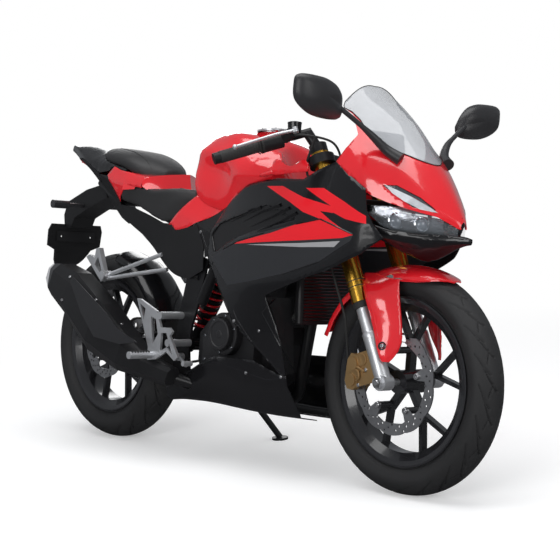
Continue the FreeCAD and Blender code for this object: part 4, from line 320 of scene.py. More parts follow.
looks = {
    "red_paint": material("red_paint", RED, 0.18, coat=1.0, grain=2500, grain_depth=0.01, mottle=0.05),
    "black_panel": material("fairing_paint", SATIN, 0.35, coat=0.15, build=fairing_paint, **DULL),
    "black_gloss": material("black_gloss", BLACK, 0.2, coat=0.3, **DULL),
    "black_plastic": material("black_plastic", (0.010, 0.010, 0.011), 0.45, grain=900, grain_depth=0.25,
                              **DULLER),
    "frame_paint": material("frame_paint", (0.009, 0.009, 0.010), 0.34, grain=700, grain_depth=0.1, **DULL),
    "wheel_paint": material("wheel_paint", (0.014, 0.014, 0.016), 0.22, coat=0.5),
    "tyre": material("tyre_rubber", (0.014, 0.014, 0.015), 0.62, grain=1400, grain_depth=0.4, mottle=0.2),
    "cast_case": material("cast_case", (0.022, 0.022, 0.024), 0.46, metal=0.3, grain=800, grain_depth=0.35),
    "silver": material("silver_cast", (0.66, 0.67, 0.69), 0.34, metal=0.85, grain=1200, grain_depth=0.15),
    "exhaust_trim": material("exhaust_trim", SOFT_BLACK, 0.35, grain=1200, grain_depth=0.1, build=trim_paint),
    "chrome_dark": material("dark_chrome", (0.30, 0.31, 0.33), 0.12, metal=1.0, grain=1500, grain_depth=0.04),
    "amber": material("amber_lens", (0.75, 0.22, 0.01), 0.1, coat=0.6, grain=300, grain_depth=0.05),
    "dial": material("dial_glass", (0.010, 0.011, 0.013), 0.05, coat=1.0, grain=300, grain_depth=0.01),
    "gold_tube": material("gold_anodised", (0.75, 0.42, 0.06), 0.24, metal=1.0, grain=1500),
    "disc_steel": material("disc_steel", (0.50, 0.50, 0.51), 0.3, metal=1.0, grain=1800, grain_depth=0.12),
    "chain_steel": material("chain_steel", (0.20, 0.19, 0.18), 0.42, metal=0.9, grain=1500, grain_depth=0.1),
    "steel": material("bright_steel", (0.62, 0.62, 0.63), 0.28, metal=1.0, grain=1500, grain_depth=0.08),
    "bronze": material("bronze_coat", (0.46, 0.29, 0.13), 0.38, metal=0.8, grain=900, grain_depth=0.2),
    "seat_cover": material("seat_grain", (0.02, 0.02, 0.021), 0.55, grain=420, grain_depth=0.5),
    "rubber": material("moulded_rubber", (0.018, 0.018, 0.018), 0.65, grain=900, grain_depth=0.3),
    "clear_lens": material("clear_lens", (0.30, 0.33, 0.36), 0.03, grain=60, coat=1.0, Alpha=0.13),
    "screen": material("screen", (0.42, 0.44, 0.47), 0.05, grain=40, coat=0.5, Alpha=0.52),
    "tail_lens": material("tail_lens", LENS_RED, 0.08, coat=0.6, build=lamp_paint),
    "mirror_shell": material("mirror_shell", (0.02, 0.02, 0.022), 0.4, grain=900, grain_depth=0.2),
    "lamp_black": material("lamp_black", (0.010, 0.010, 0.012), 0.2, coat=0.3),
    "reflector": material("reflector", (0.75, 0.77, 0.80), 0.08, metal=1.0, grain=400, grain_depth=0.02),
    "crystal": material("crystal", (0.34, 0.35, 0.38), 0.16, metal=1.0, grain=95, grain_depth=0.6, mottle=0.5,
                        blotch=60.0),
    "light_guide": material("light_guide", (0.85, 0.88, 0.92), 0.2, **GLOWING),
    "lens_ball": material("lens_ball", (0.20, 0.23, 0.27), 0.03, coat=1.0, metal=0.3),
    "pale_lens": material("pale_lens", (0.62, 0.64, 0.67), 0.12, coat=1.0, grain=300, grain_depth=0.1,
                          mottle=0.15, blotch=40.0),
    "tail_dot": material("tail_dot", (0.85, 0.05, 0.04), 0.15, coat=0.8, grain=300, grain_depth=0.05),
}
print("finishes", len(looks))

# %% [markdown]
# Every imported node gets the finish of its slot.
# %%
FINISH_OF = {
    "red_paint": ["fuel_tank", "tail_cowls", "tank_panels", "upper_cowl", "front_fender"],
    "black_panel": ["side_fairings", "belly_pan"],
    "black_gloss": ["beak", "tail_hump", "rear_hugger"],
    "frame_paint": ["main_frame", "seat_rails", "swingarm", "muffler", "exhaust_pipe", "fork_clamps",
                    "handlebars", "side_stand", "radiator", "rear_shock"],
    "wheel_paint": ["front_rim", "rear_rim"],
    "cast_case": ["engine", "engine_covers"],
    "silver": ["fork_legs", "levers", "footrests", "filler_cap"],
    "exhaust_trim": ["muffler_trim"],
    "gold_tube": ["fork_tubes"],
    "bronze": ["front_caliper", "rear_caliper"],
    "seat_cover": ["rider_seat", "pillion_seat"],
    "rubber": ["grips", "brake_hose"],
    "clear_lens": ["front_lamps"],
    "screen": ["windscreen"],
    "tail_lens": ["rear_lamps"],
    "mirror_shell": ["mirrors"],
}
finish_by_node = {node: look for look, several in FINISH_OF.items() for node in several}
for name, node in nodes.items():
    node.data.materials.clear()
    node.data.materials.append(looks[finish_by_node.get(name, "black_plastic")])
print("plain finish on", sorted(set(nodes) - set(finish_by_node)))

# %% [markdown]
# Finer pieces are built from upright millimetre points. Each one rides a body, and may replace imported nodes.
# %%


def add_piece(name, points, faces, look, body, stands_for=(), slot="", smooth=35.0):
    """A mesh of upright millimetre points, set down in the leaning world."""
    mesh = bpy.data.meshes.new(name)
    spots = np.array(points, dtype=float) * MM
    turn = np.array(LEANING.to_3x3())
    spots = spots @ turn.T + np.array(LEANING.translation)
    mesh.from_pydata(spots.tolist(), [], faces)
    mesh.validate()
    return finish_piece(name, mesh, look, body, stands_for, smooth)


def finish_piece(name, mesh, look, body, stands_for=(), smooth=35.0):
    """Gives a mesh its finish and its body."""
    made = bpy.data.objects.new(name, mesh)
    scene.collection.objects.link(made)
    shade(mesh, smooth)
    mesh.materials.clear()
    mesh.materials.append(looks[look])
    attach(made, body)
    if stands_for:
        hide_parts(*([stands_for] if isinstance(stands_for, str) else stands_for))
    return made


def shade(mesh, smooth):
    mesh.polygons.foreach_set("use_smooth", [True] * len(mesh.polygons))
    mesh.set_sharp_from_angle(angle=math.radians(smooth))


def frame_of(direction, roll=(0, 0, 1)):
    """Three upright axes, the last along a direction."""
    c = Vector(direction).normalized()
    a = Vector(roll).cross(c)
    a = a.normalized() if a.length > 0.001 else Vector((1, 0, 0))
    return a, c.cross(a), c


def ring_of(radius, count, centre=(0, 0), first=0.0):
    """Flat points evenly round a circle."""
    angles = [first + 2 * math.pi * step / count for step in range(count)]
    return [(centre[0] + radius * math.cos(angle), centre[1] + radius * math.sin(angle)) for angle in angles]


def ring_faces(rows, count):
    """Faces between closed rings of points that follow each other."""
    faces = []
    for low in range(0, (rows - 1) * count, count):
        for step in range(count):
            after = (step + 1) % count
            faces.append((low + step, low + after, low + count + after, low + count + step))
    return faces


def lathe(centre, direction, profile, count=48):
    """Points and faces of a profile of (along, radius) turned about a line."""
    a, b, c = frame_of(direction)
    points = []
    for along, radius in profile:
        points += [tuple(Vector(centre) + c * along + a * p + b * q) for p, q in ring_of(radius, count)]
    return points, ring_faces(len(profile), count)


def join(*parts):
    """Several (points, faces) pairs as one."""
    points, faces = [], []
    for some_points, some_faces in parts:
        start = len(points)
        points += list(some_points)
        faces += [tuple(i + start for i in face) for face in some_faces]
    return points, faces


def tube(route, radius, count=12):
    """A round tube along upright points, with closed ends. The radius may be one for each point."""
    spots = [Vector(p) for p in route]
    reach = radius if isinstance(radius, list) else [radius] * len(spots)
    points = []
    side = None
    for number, spot in enumerate(spots):
        before = spots[max(0, number - 1)]
        after = spots[min(len(spots) - 1, number + 1)]
        run = (after - before).normalized()
        side = side or frame_of(run)[0]
        side = (side - run * side.dot(run)).normalized()
        up = run.cross(side)
        points += [tuple(spot + side * p + up * q) for p, q in ring_of(reach[number], count)]
    ends = [tuple(range(count))[::-1], tuple(range(len(points) - count, len(points)))]
    return points, ring_faces(len(spots), count) + ends


def curve(points, steps=8):
    """A smooth run through points, by Catmull and Rom's rule."""
    spots = [Vector(p) for p in points]
    spots = [spots[0]] + spots + [spots[-1]]
    made = []
    for a, b, c, d in zip(spots, spots[1:], spots[2:], spots[3:]):
        for step in range(steps):
            t = step / steps
            square, cube = 2 * a - 5 * b + 4 * c - d, 3 * b - a - 3 * c + d
            made.append(0.5 * (2 * b + (c - a) * t + square * t * t + cube * t ** 3))
    return [tuple(p) for p in made + [spots[-1]]]


def plate(loops, centre, direction, thickness, roll=(0, 0, 1)):
    """A flat plate with holes: flat outlines on a plane, filled and given a thickness."""
    a, b, c = frame_of(direction, roll)
    made = bmesh.new()
    for loop in loops:
        corners = [made.verts.new(Vector(centre) + a * p + b * q) for p, q in loop]
        for first, second in zip(corners, corners[1:] + corners[:1]):
            made.edges.new((first, second))
    bmesh.ops.triangle_fill(made, use_beauty=True, use_dissolve=False, edges=made.edges[:])
    faces = made.faces[:]
    grown = bmesh.ops.extrude_face_region(made, geom=faces)
    moved = [item for item in grown["geom"] if isinstance(item, bmesh.types.BMVert)]
    bmesh.ops.translate(made, verts=moved, vec=c * thickness)
    bmesh.ops.recalc_face_normals(made, faces=made.faces[:])
    made.verts.index_update()
    points = [tuple(v.co) for v in made.verts]
    faces = [tuple(v.index for v in face.verts) for face in made.faces]
    made.free()
    return points, faces


def helix(start, run, first, share, turns, reach, steps):
    """A coil round the line from start along run, from a share of its length on."""
    a, b, c = frame_of(run)
    made = []
    for step in range(steps + 1):
        angle = 2 * math.pi * turns * step / steps
        made.append(start + run * (first + share * step / steps)
                    + (a * math.cos(angle) + b * math.sin(angle)) * reach)
    return made


def put(name, shapes, look, slot, body="chassis", smooth=30, stands_for=()):
    """Several shapes, given as points and faces, joined as one piece."""
    return add_piece(name, *join(*shapes), look, body, stands_for, slot, smooth)


print("helpers ready")

# %% [markdown]
# What repeats is set down by one geometry nodes group: a part on every point, turned to the point's two
# directions, with a little spin from a fixed seed. The instances are made real and get one finish.
# %%


def repeater():
    """Group inputs: the points, Part, Finish, Spin and Seed."""
    group = bpy.data.node_groups.new("set_parts_on_points", "GeometryNodeTree")
    face = group.interface
    kinds = {"Geometry": "Geometry", "Part": "Object", "Finish": "Material", "Spin": "Float", "Seed": "Int"}
    for name, kind in kinds.items():
        face.new_socket(name, in_out="INPUT", socket_type="NodeSocket" + kind)
    face.new_socket("Geometry", in_out="OUTPUT", socket_type="NodeSocketGeometry")
    tree = Tree(group)
    start = group.nodes.new("NodeGroupInput")
    heading, roll, grow = [
        tree.add("GeometryNodeInputNamedAttribute", {"Name": name}, data_type="FLOAT_VECTOR")
        for name in ("heading", "roll", "grow")]
    turn = tree.add("FunctionNodeAxesToRotation", {"Primary Axis": heading, "Secondary Axis": roll},
                    primary_axis="Z", secondary_axis="X")
    part = tree.add("GeometryNodeObjectInfo", {"Object": start.outputs["Part"]}, out=4)
    put_down = {"Points": start.outputs["Geometry"], "Instance": part, "Rotation": turn, "Scale": grow}
    placed = tree.add("GeometryNodeInstanceOnPoints", put_down)
    angle = tree.add("FunctionNodeRandomValue", {2: 0.0, 3: math.pi, "Seed": start.outputs["Seed"]}, out=1,
                     data_type="FLOAT")
    spin = tree.math("MULTIPLY", angle, start.outputs["Spin"])
    about = tree.add("ShaderNodeCombineXYZ", {"Z": spin})
    placed = tree.add("GeometryNodeRotateInstances", {"Instances": placed, "Rotation": about})
    real = tree.add("GeometryNodeRealizeInstances", {0: placed})
    done = tree.add("GeometryNodeSetMaterial", {"Geometry": real, "Material": start.outputs["Finish"]})
    end = group.nodes.new("NodeGroupOutput")
    group.links.new(done, end.inputs[0])
    return group


REPEATER = repeater()


def part_of(name, points, faces, smooth=35.0):
    """A hidden unit part, in millimetres, that the repeater sets down."""
    mesh = bpy.data.meshes.new(name)
    mesh.from_pydata([tuple(c * MM for c in p) for p in points], [], faces)
    shade(mesh, smooth)
    return bpy.data.objects.new(name, mesh)


def repeat(name, part, spots, look, body, spin=0.0, seed=7, stands_for=()):
    """One part on every spot. A spot is (place, heading, roll, scale), in upright millimetres."""
    mesh = bpy.data.meshes.new(name + "_spots")
    mesh.from_pydata([tuple(place(*spot[0])) for spot in spots], [], [])
    layers = {"heading": [aim(*spot[1]) for spot in spots], "roll": [aim(*spot[2]) for spot in spots],
              "grow": [Vector((spot[3],) * 3) for spot in spots]}
    for key, values in layers.items():
        layer = mesh.attributes.new(key, "FLOAT_VECTOR", "POINT")
        layer.data.foreach_set("vector", [c for v in values for c in v])
    base = bpy.data.objects.new(name + "_base", mesh)
    scene.collection.objects.link(base)
    setter = base.modifiers.new("parts", "NODES")
    setter.node_group = REPEATER
    inputs = {item.name: item.identifier for item in REPEATER.interface.items_tree if item.in_out == "INPUT"}
    setter[inputs["Part"]] = part
    setter[inputs["Finish"]] = looks[look]
    setter[inputs["Spin"]] = spin
    setter[inputs["Seed"]] = seed
    seen = base.evaluated_get(bpy.context.evaluated_depsgraph_get())
    made = bpy.data.meshes.new_from_object(seen)
    made.name = name
    bpy.data.objects.remove(base)
    return finish_piece(name, made, look, body, stands_for)


BOLT_PROFILE = [(0.15, 0.001), (0.12, 0.42), (0.6, 0.5), (0.6, 0.8), (0.48, 0.95), (0, 1.0)]
BOLT = part_of("bolt", *lathe((0, 0, 0), (0, 0, 1), BOLT_PROFILE, 12))


def bolts(name, spots, look="steel", body="chassis"):
    """Round socket heads, each spun a little by the fixed seed."""
    return repeat(name, BOLT, spots, look, body, spin=1.0)


print("repeater inputs", [item.name for item in REPEATER.interface.items_tree if item.in_out == "INPUT"])
# %% [markdown]
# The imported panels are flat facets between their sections. Finer copies are cut into small triangles and
# relaxed a little, so that the skins read as moulded. They stand for their nodes and carry their slots.

# %%
EDGE = 13.0 * MM
CUT_ROUNDS = 6
SHARP = 1.1
SEAT_STEP = 352
SEAT_SLANT = 0.8
SMOOTHED = {"fuel_tank": 10, "upper_cowl": 7, "front_fender": 6, "tail_cowls": 6, "tank_panels": 4,
            "side_fairings": 3, "belly_pan": 3, "tail_hump": 5, "beak": 3, "rear_hugger": 4, "windscreen": 6}


def in_triangles(shape):
    bmesh.ops.triangulate(shape, faces=[face for face in shape.faces if len(face.verts) > 3])


def is_sharp(edge):
    return len(edge.link_faces) == 2 and edge.calc_face_angle() > SHARP


def open_over_seat(shape):
    """Cuts the tail cowls open over the rider's seat."""
    for side in (1, -1):
        bmesh.ops.bisect_plane(shape, geom=shape.verts[:] + shape.edges[:] + shape.faces[:],
                               plane_co=place(SEAT_STEP, 0, 0), plane_no=aim(1, side * SEAT_SLANT, 0))
    middles = {face: upright_of(face.calc_center_median()) for face in shape.faces}
    over = [face for face, spot in middles.items() if spot.x + SEAT_SLANT * abs(spot.y) > SEAT_STEP]
    bmesh.ops.delete(shape, geom=over, context="FACES")
    in_triangles(shape)


def smoothed(name, rounds):
    """A fine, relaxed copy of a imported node."""
    source = nodes[name]
    shape = bmesh.new()
    shape.from_mesh(source.data)
    shape.transform(source.matrix_world)
    bmesh.ops.remove_doubles(shape, verts=shape.verts[:], dist=0.02 * MM)
    for cut in range(CUT_ROUNDS):
        long_edges = [edge for edge in shape.edges if edge.calc_length() > EDGE]
        if not long_edges:
            break
        bmesh.ops.subdivide_edges(shape, edges=long_edges, cuts=1)
        in_triangles(shape)
    if name == "tail_cowls":
        open_over_seat(shape)
    rim = {vert for edge in shape.edges if len(edge.link_faces) != 2 or is_sharp(edge) for vert in edge.verts}
    free = [vert for vert in shape.verts if vert not in rim]
    for step in range(rounds):
        bmesh.ops.smooth_vert(shape, verts=free, factor=0.5, use_axis_x=True, use_axis_y=True,
                              use_axis_z=True)
    mesh = bpy.data.meshes.new("fine_" + name)
    shape.to_mesh(mesh)
    shape.free()
    look = finish_by_node[name]
    body = "steering" if name == "front_fender" else "chassis"
    nodes[name] = finish_piece("fine_" + name, mesh, look, body, name, 42.0)
    return len(mesh.polygons)


DECK = surface_of("tail_cowls")
print("faces", {name: smoothed(name, rounds) for name, rounds in SMOOTHED.items()})
SKINS = surface_of(*SKIN_NODES)

# %% [markdown]
# The step that rises behind the rider's seat closes the cowl there, from the cowl's edge down to the seat.

# %%
SEAT = surface_of("rider_seat")
DECK_REAR = 150
DECK_STEPS = 8
DECK_CROWN = 11
DECK_LOWEST = 822
SIDE_LEVEL = 817
COWL_HALF, COWL_STRIDE = 119, 7
SEAT_HALF = 112
STEP_RUN = 26
STEP_SHARES = (0.0, 0.12, 0.5, 1.0)


def deck_level(x, y):
    """Level of the cowl's deck, carried across the opening under the passenger's pad and crowned there."""
    level = None
    for step in range(COWL_HALF + 1, int(abs(y)) - 1, -4):
        found = top_at(DECK, x, step)
        if found and found[0].z > DECK_LOWEST:
            level = found[0].z
        elif level:
            break
    crown = DECK_CROWN * max(0.0, 1 - (y / 100) ** 2) * min(1.0, max(0.0, (x - DECK_REAR) / 110))
    return (SIDE_LEVEL if level is None else level) + crown + 0.4


def grid_faces(rows):
    width = len(rows[0])
    starts = [row * width + step for row in range(len(rows) - 1) for step in range(width - 1)]
    return [(a, a + 1, a + width + 1, a + width) for a in starts]


deck, step_rows = [[] for n in range(DECK_STEPS + 1)], [[] for share in STEP_SHARES]
for y in range(-COWL_HALF, COWL_HALF + 1, COWL_STRIDE):
    front = SEAT_STEP - SEAT_SLANT * abs(y)
    reach = front - 2 - DECK_REAR
    levels = [deck_level(DECK_REAR + reach * n / DECK_STEPS, y) for n in range(DECK_STEPS + 1)]
    base = top_at(SEAT, front + STEP_RUN, max(-SEAT_HALF, min(SEAT_HALF, y)))
    if base is None:
        continue
    for n, level in enumerate(levels):
        deck[n].append((DECK_REAR + (front - DECK_REAR) * n / DECK_STEPS, y, level))
    low = min(base[0].z - 3, levels[-1] - 6)
    for row, share in zip(step_rows, STEP_SHARES):
        row.append((front + STEP_RUN * share ** 2, y, levels[-1] + (low - levels[-1]) * share))

whole = deck + step_rows[1:]
step_shape = [p for row in whole for p in row], grid_faces(whole)
put("seat_step", [step_shape], "red_paint", "red_paint", smooth=60)
print("seat step", len(deck[0]), "crest", [round(v) for v in deck[-1][len(deck[0]) // 2]])

# %% [markdown]
# The screen's sharp edges get a thin rubber rim.

# %%
edges = bmesh.new()
edges.from_mesh(nodes["windscreen"].data)
rims = [[tuple(upright_of(vert.co)) for vert in edge.verts] for edge in edges.edges if is_sharp(edge)]
edges.free()
put("screen_rim", [tube(pair, 1.3, 5) for pair in rims], "rubber", "black_plastic", smooth=60)
print("rim pieces", len(rims))
# %% [markdown]
# Each tyre is one grid turned about its axle. The tread's grooves are curved lines that repeat round the
# tyre, sunk 4 mm with steep walls, and each half is set off by half a repeat.
# %%
FRONT_AXLE = (1311, 0, 296)
REAR_AXLE = (0, 0, 307)
RIM_EDGE = 217


def arc_through(a, b, c, count):
    """Points of the circle through three flat points, from the first to the last."""
    ax, ay, bx, by, cx, cy = *a, *b, *c
    aa, bb, cc = ax * ax + ay * ay, bx * bx + by * by, cx * cx + cy * cy
    d = 2 * (ax * (by - cy) + bx * (cy - ay) + cx * (ay - by))
    ux = (aa * (by - cy) + bb * (cy - ay) + cc * (ay - by)) / d
    uy = (aa * (cx - bx) + bb * (ax - cx) + cc * (bx - ax)) / d
    reach = math.hypot(ax - ux, ay - uy)
    first, last = (math.atan2(y - uy, x - ux) for x, y in (a, c))
    sweep = (last - first + math.pi) % (2 * math.pi) - math.pi
    angles = [first + sweep * step / count for step in range(count + 1)]
    return [(ux + reach * math.cos(angle), uy + reach * math.sin(angle)) for angle in angles]


GROOVE_DEPTH = 4.0
TREAD_HALF = 60
GROOVES = (
    # start and stop as shares of the half width, shift and lean in repeats, bend, width
    (0.10, 0.80, 0.0, 0.95, 1.6, 5.0), (0.42, 0.97, 0.5, 0.75, 1.3, 4.4), (0.30, 0.55, 0.27, -0.5, 1.0, 3.6),
)
TURN_STEPS = 900
CROWN_STEPS = 46
WALL_LINES = ((5, 0.9), (6, -0.8), (9, 0.7))


def groove_depth(along, across, repeat_length):
    """How deep the tread is cut at a length round the tyre and a share of the half width."""
    depth = np.zeros_like(along)
    for start, stop, shift, lean, bend, width in GROOVES:
        share = np.clip((across - start) / (stop - start), 0, 1)
        path = (shift + lean * share ** bend) * repeat_length
        steep = np.maximum(share, 0.02) ** (bend - 1)
        slope = lean * bend * steep * repeat_length / ((stop - start) * TREAD_HALF)
        off = (along - path + repeat_length / 2) % repeat_length - repeat_length / 2
        away = np.abs(off) / np.sqrt(1 + slope ** 2)
        ends = np.minimum(across - start, stop - across) * TREAD_HALF
        taper = width / 2 * np.clip(1.1 - 0.5 * share, 0.4, 1.0)
        inside = np.minimum(taper - away, ends)
        depth = np.maximum(depth, np.clip(inside / 0.9 + 0.3, 0, 1) * (ends > -0.5))
    return depth * GROOVE_DEPTH


def tyre_section(radius, width, rim_width):
    """The section's (across, radius) points from bead to bead, and how many come before the crown."""
    tall, half = radius - RIM_EDGE, width / 2
    bead = rim_width / 2 - 5.4
    edge = (0.95 * half, RIM_EDGE + 0.64 * tall)
    wall = arc_through((bead, RIM_EDGE + 0.1 * tall), (half, RIM_EDGE + 0.48 * tall), edge, 9)
    crown = arc_through(edge, (0, radius), (-edge[0], edge[1]), CROWN_STEPS)
    side = [(bead - 8, RIM_EDGE), (bead, RIM_EDGE)] + wall[:-1]
    return side + crown + [(-y, r) for y, r in side[::-1]], len(side)


def tyre(name, axle, radius, width, rim_width, repeats, node, body):
    rows, first = tyre_section(radius, width, rim_width)
    turn = np.linspace(0, 2 * math.pi, TURN_STEPS, endpoint=False)
    level, reach = (np.repeat(np.array(column)[:, None], TURN_STEPS, axis=1) for column in zip(*rows))
    length = 2 * math.pi * radius / repeats
    half_rows = (CROWN_STEPS + 1) / 2
    for row in range(first, first + CROWN_STEPS + 1):
        share = (row - first - half_rows + 0.5) / half_rows
        along = turn * radius + (length / 2 if share < 0 else 0)
        reach[row] -= groove_depth(along, np.full(TURN_STEPS, abs(share)), length)
    for row, depth in WALL_LINES:
        level[row] += depth
        level[len(rows) - 1 - row] -= depth
    x = axle[0] + reach * np.cos(turn)
    z = axle[2] + reach * np.sin(turn)
    points = np.stack([x, level, z], axis=2).reshape(-1, 3)
    return add_piece(name, points, ring_faces(len(rows), TURN_STEPS), "tyre", body, node, "tyre", 50)


front_tread = tyre("front_tread", FRONT_AXLE, 296, 100, 76, 22, "front_tyre", "front_wheel")
rear_tread = tyre("rear_tread", REAR_AXLE, 307, 130, 98, 20, "rear_tyre", "rear_wheel")
print("tyre faces", len(front_tread.data.polygons), len(rear_tread.data.polygons))

# %% [markdown]
# The waved discs: a drilled ring whose edges follow arcs, a carrier star with floating buttons.
# %%


WAVES = 10
DISC_FACE, DISC_THICK = -62, 4
HOLES, HOLE_RADIUS = 60, 3.3
EARS, FIRST_EAR = 5, 14.5


def waved(radius, depth, waves, steps):
    """An outline of lobes with notches between them."""
    made = []
    for step in range(steps):
        angle = 2 * math.pi * step / steps
        reach = radius - depth * (1 - abs(math.sin(waves * angle / 2)) ** 0.6)
        made.append((reach * math.cos(angle), reach * math.sin(angle)))
    return made


def ear(root, out, side, inner, ear_circle):
    """One arm of the carrier: a flat tapered block from the disc's inside to its button."""
    half = [(inner + 5, 17), (ear_circle + 2, 11), (ear_circle - 9, 6)]
    outline = half + [(away, -wide) for away, wide in half[::-1]]
    corners = [root + out * away + side * wide for away, wide in outline]
    back = [p + Vector((0, 3.4, 0)) for p in corners]
    count = len(corners)
    faces = [tuple(range(count)), tuple(range(2 * count - 1, count - 1, -1))]
    faces += [(i, i + count, (i + 1) % count + count, (i + 1) % count) for i in range(count)]
    return [tuple(p) for p in corners + back], faces


def disc(name, axle, radius, inner, ear_circle, node, body):
    """A disc outside radius and inside radius, with ears out to their circle of buttons."""
    holes = []
    for number in range(HOLES):
        angle = 2 * math.pi * number / HOLES
        reach = inner + 6 + (radius - inner - 15) * ((number * 2) % 5) / 4
        holes.append(ring_of(HOLE_RADIUS, 12, (reach * math.cos(angle), reach * math.sin(angle))))
    loops = [waved(radius, 5, WAVES, 360), waved(inner + 2, -4, WAVES, 240)] + holes
    face = Vector((axle[0], DISC_FACE, axle[2]))
    put(name + "_ring", [plate(loops, face, (0, 1, 0), DISC_THICK)], "disc_steel", "steel", body, 30, node)
    star, buttons = [], []
    for number in range(EARS):
        angle = math.radians(FIRST_EAR + 360 / EARS * number)
        out = Vector((math.cos(angle), 0, math.sin(angle)))
        side = Vector((-math.sin(angle), 0, math.cos(angle)))
        star.append(ear(face + Vector((0, 0.3, 0)), out, side, inner, ear_circle))
        buttons.append((face + out * ear_circle, (0, -1, 0), (1, 0, 0), 9.0))
    put(name + "_ears", star, "disc_steel", "steel", body)
    bolts(name + "_bolts", buttons, body=body)


disc("front_disc", FRONT_AXLE, 138, 104, 83, "front_disc", "front_wheel")
disc("rear_disc", REAR_AXLE, 110, 78, 60.5, "rear_disc", "rear_wheel")
print("disc buttons", 2 * EARS)

# %% [markdown]
# The chain: links of two plates and two rollers on its pitch line, and the rear sprocket with real teeth.
# %%
CHAIN_SIDE = 76
PITCH = 12.7
BIG, SMALL = 89.0, 30.0
FRONT_SPROCKET = Vector((560, CHAIN_SIDE, 345))
REAR_SPROCKET = Vector((0, CHAIN_SIDE, 307))


def wrapped(centre, radius, first, turn, steps):
    """Points of the chain's bend round a sprocket."""
    angles = [first + turn * step / steps for step in range(steps + 1)]
    return [centre + Vector((math.cos(angle), 0, math.sin(angle))) * radius for angle in angles]


def pitch_line():
    """The chain's centre line as a closed run of even steps."""
    span = FRONT_SPROCKET - REAR_SPROCKET
    slope = math.atan2(span.z, span.x)
    spread = math.acos((BIG - SMALL) / span.length)
    route = wrapped(REAR_SPROCKET, BIG, slope + spread, 2 * math.pi - 2 * spread, 60)
    route += wrapped(FRONT_SPROCKET, SMALL, slope - spread, 2 * spread, 30)
    lengths = [(b - a).length for a, b in zip(route, route[1:] + route[:1])]
    count = 2 * round(sum(lengths) / PITCH / 2)
    step_length = sum(lengths) / count
    made, travelled, target = [], 0.0, 0.0
    for a, b, length in zip(route, route[1:] + route[:1], lengths):
        while target <= travelled + length and len(made) < count:
            made.append(a.lerp(b, (target - travelled) / length))
            target += step_length
        travelled += length
    return made


def link_outline(reach):
    """Two round ends and a waist."""
    made = []
    for step in range(28):
        angle = 2 * math.pi * step / 28
        waist = 4.6 - 1.1 * abs(math.sin(angle)) ** 4
        along = math.copysign(reach, math.cos(angle)) * min(1, abs(math.cos(angle)) * 1.6)
        made.append((along + 1.6 * math.cos(angle), waist * math.sin(angle)))
    return made


def link(kind, spread):
    """One link: a plate either side and two rollers, with the plates' outsides spread from its middle."""
    wide = 2 * spread
    roller = [(-1.4, 0.01), (-1.4, 1.8), (0, 1.8), (0.6, 3.6), (wide - 0.6, 3.6), (wide, 1.8),
              (wide + 1.4, 1.8), (wide + 1.4, 0.01)]
    flat = link_outline(PITCH / 2)
    sides = [plate([flat], (0, sign * spread - 0.7, 0), (0, 1, 0), 1.4, (0, 0, 1)) for sign in (-1, 1)]
    pins = [lathe((sign * PITCH / 2, -spread, 0), (0, 1, 0), roller, 10) for sign in (-1, 1)]
    return part_of("link_" + kind, *join(*sides, *pins))


spots = pitch_line()
for kind, spread, start, stands_for in (("outer", 6.4, 0, "drive_chain"), ("inner", 4.6, 1, ())):
    links = []
    for number in range(start, len(spots), 2):
        a, b = spots[number], spots[(number + 1) % len(spots)]
        run = (b - a).normalized()
        links.append(((a + b) / 2, run.cross(Vector((0, 1, 0))), run, 1.0))
    repeat("chain_" + kind, link(kind, spread), links, "chain_steel", "chassis",
           stands_for=stands_for)
print("chain links", len(spots))

# %% [markdown]
# The rear sprocket has 44 teeth, so a quarter turn brings the same teeth to the same links.
# %%
TEETH, TOOTH_RADIUS, TOOTH_DEPTH = 44, 88.0, 7
WINDOW_CIRCLE, NUT_CIRCLE = 68, 54
CARRIER = [(0, 16), (0, 48), (22, 50), (26, 54), (26, 44), (18, 36), (14, 16)]


def toothed(radius, teeth, depth):
    made = []
    for step in range(teeth * 8):
        angle = 2 * math.pi * step / (teeth * 8)
        reach = radius + depth * (0.5 + 0.5 * math.cos(teeth * angle)) ** 0.8 - depth / 2
        made.append((reach * math.cos(angle), reach * math.sin(angle)))
    return made


loops = [toothed(TOOTH_RADIUS, TEETH, TOOTH_DEPTH), ring_of(42, 48)]
loops += [ring_of(8.5, 20, middle) for middle in ring_of(WINDOW_CIRCLE, 10)]
sprocket = plate(loops, (0, CHAIN_SIDE - 3, REAR_AXLE[2]), (0, 1, 0), 6)
carrier = lathe((0, 46.5, REAR_AXLE[2]), (0, 1, 0), CARRIER, 60)
put("rear_sprocket_teeth", [sprocket, carrier], "steel", "steel", "rear_wheel", 30, "rear_sprocket")
nuts = [((x, CHAIN_SIDE + 3, REAR_AXLE[2] + z), (0, 1, 0), (1, 0, 0), 7.0) for x, z in ring_of(NUT_CIRCLE, 5)]
bolts("sprocket_nuts", nuts, body="rear_wheel")
print("sprocket nuts", len(nuts))

# %% [markdown]
# The two cushions are filled by a short cloth simulation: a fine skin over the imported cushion, held at its
# base, is blown up a little and capped at a few millimetres. Seams are laid on the settled cover after that.
# %%
SWELL = 5.0 * MM
VOXEL = 5.5 * MM
PRESSURE = 4.0
LAST_FRAME = 20
PAD_FRONT = 338


def applied(made):
    """The mesh with its modifiers made real."""
    return bpy.data.meshes.new_from_object(made.evaluated_get(bpy.context.evaluated_depsgraph_get()))


def with_modifier(made, kind, **settings):
    """Adds one modifier and applies it."""
    modifier = made.modifiers.new(kind.lower(), kind)
    for key, value in settings.items():
        setattr(modifier, key, value)
    made.data = applied(made)
    made.modifiers.clear()


def coordinates(mesh):
    flat = np.empty(len(mesh.vertices) * 3)
    mesh.vertices.foreach_get("co", flat)
    return flat.reshape(-1, 3)


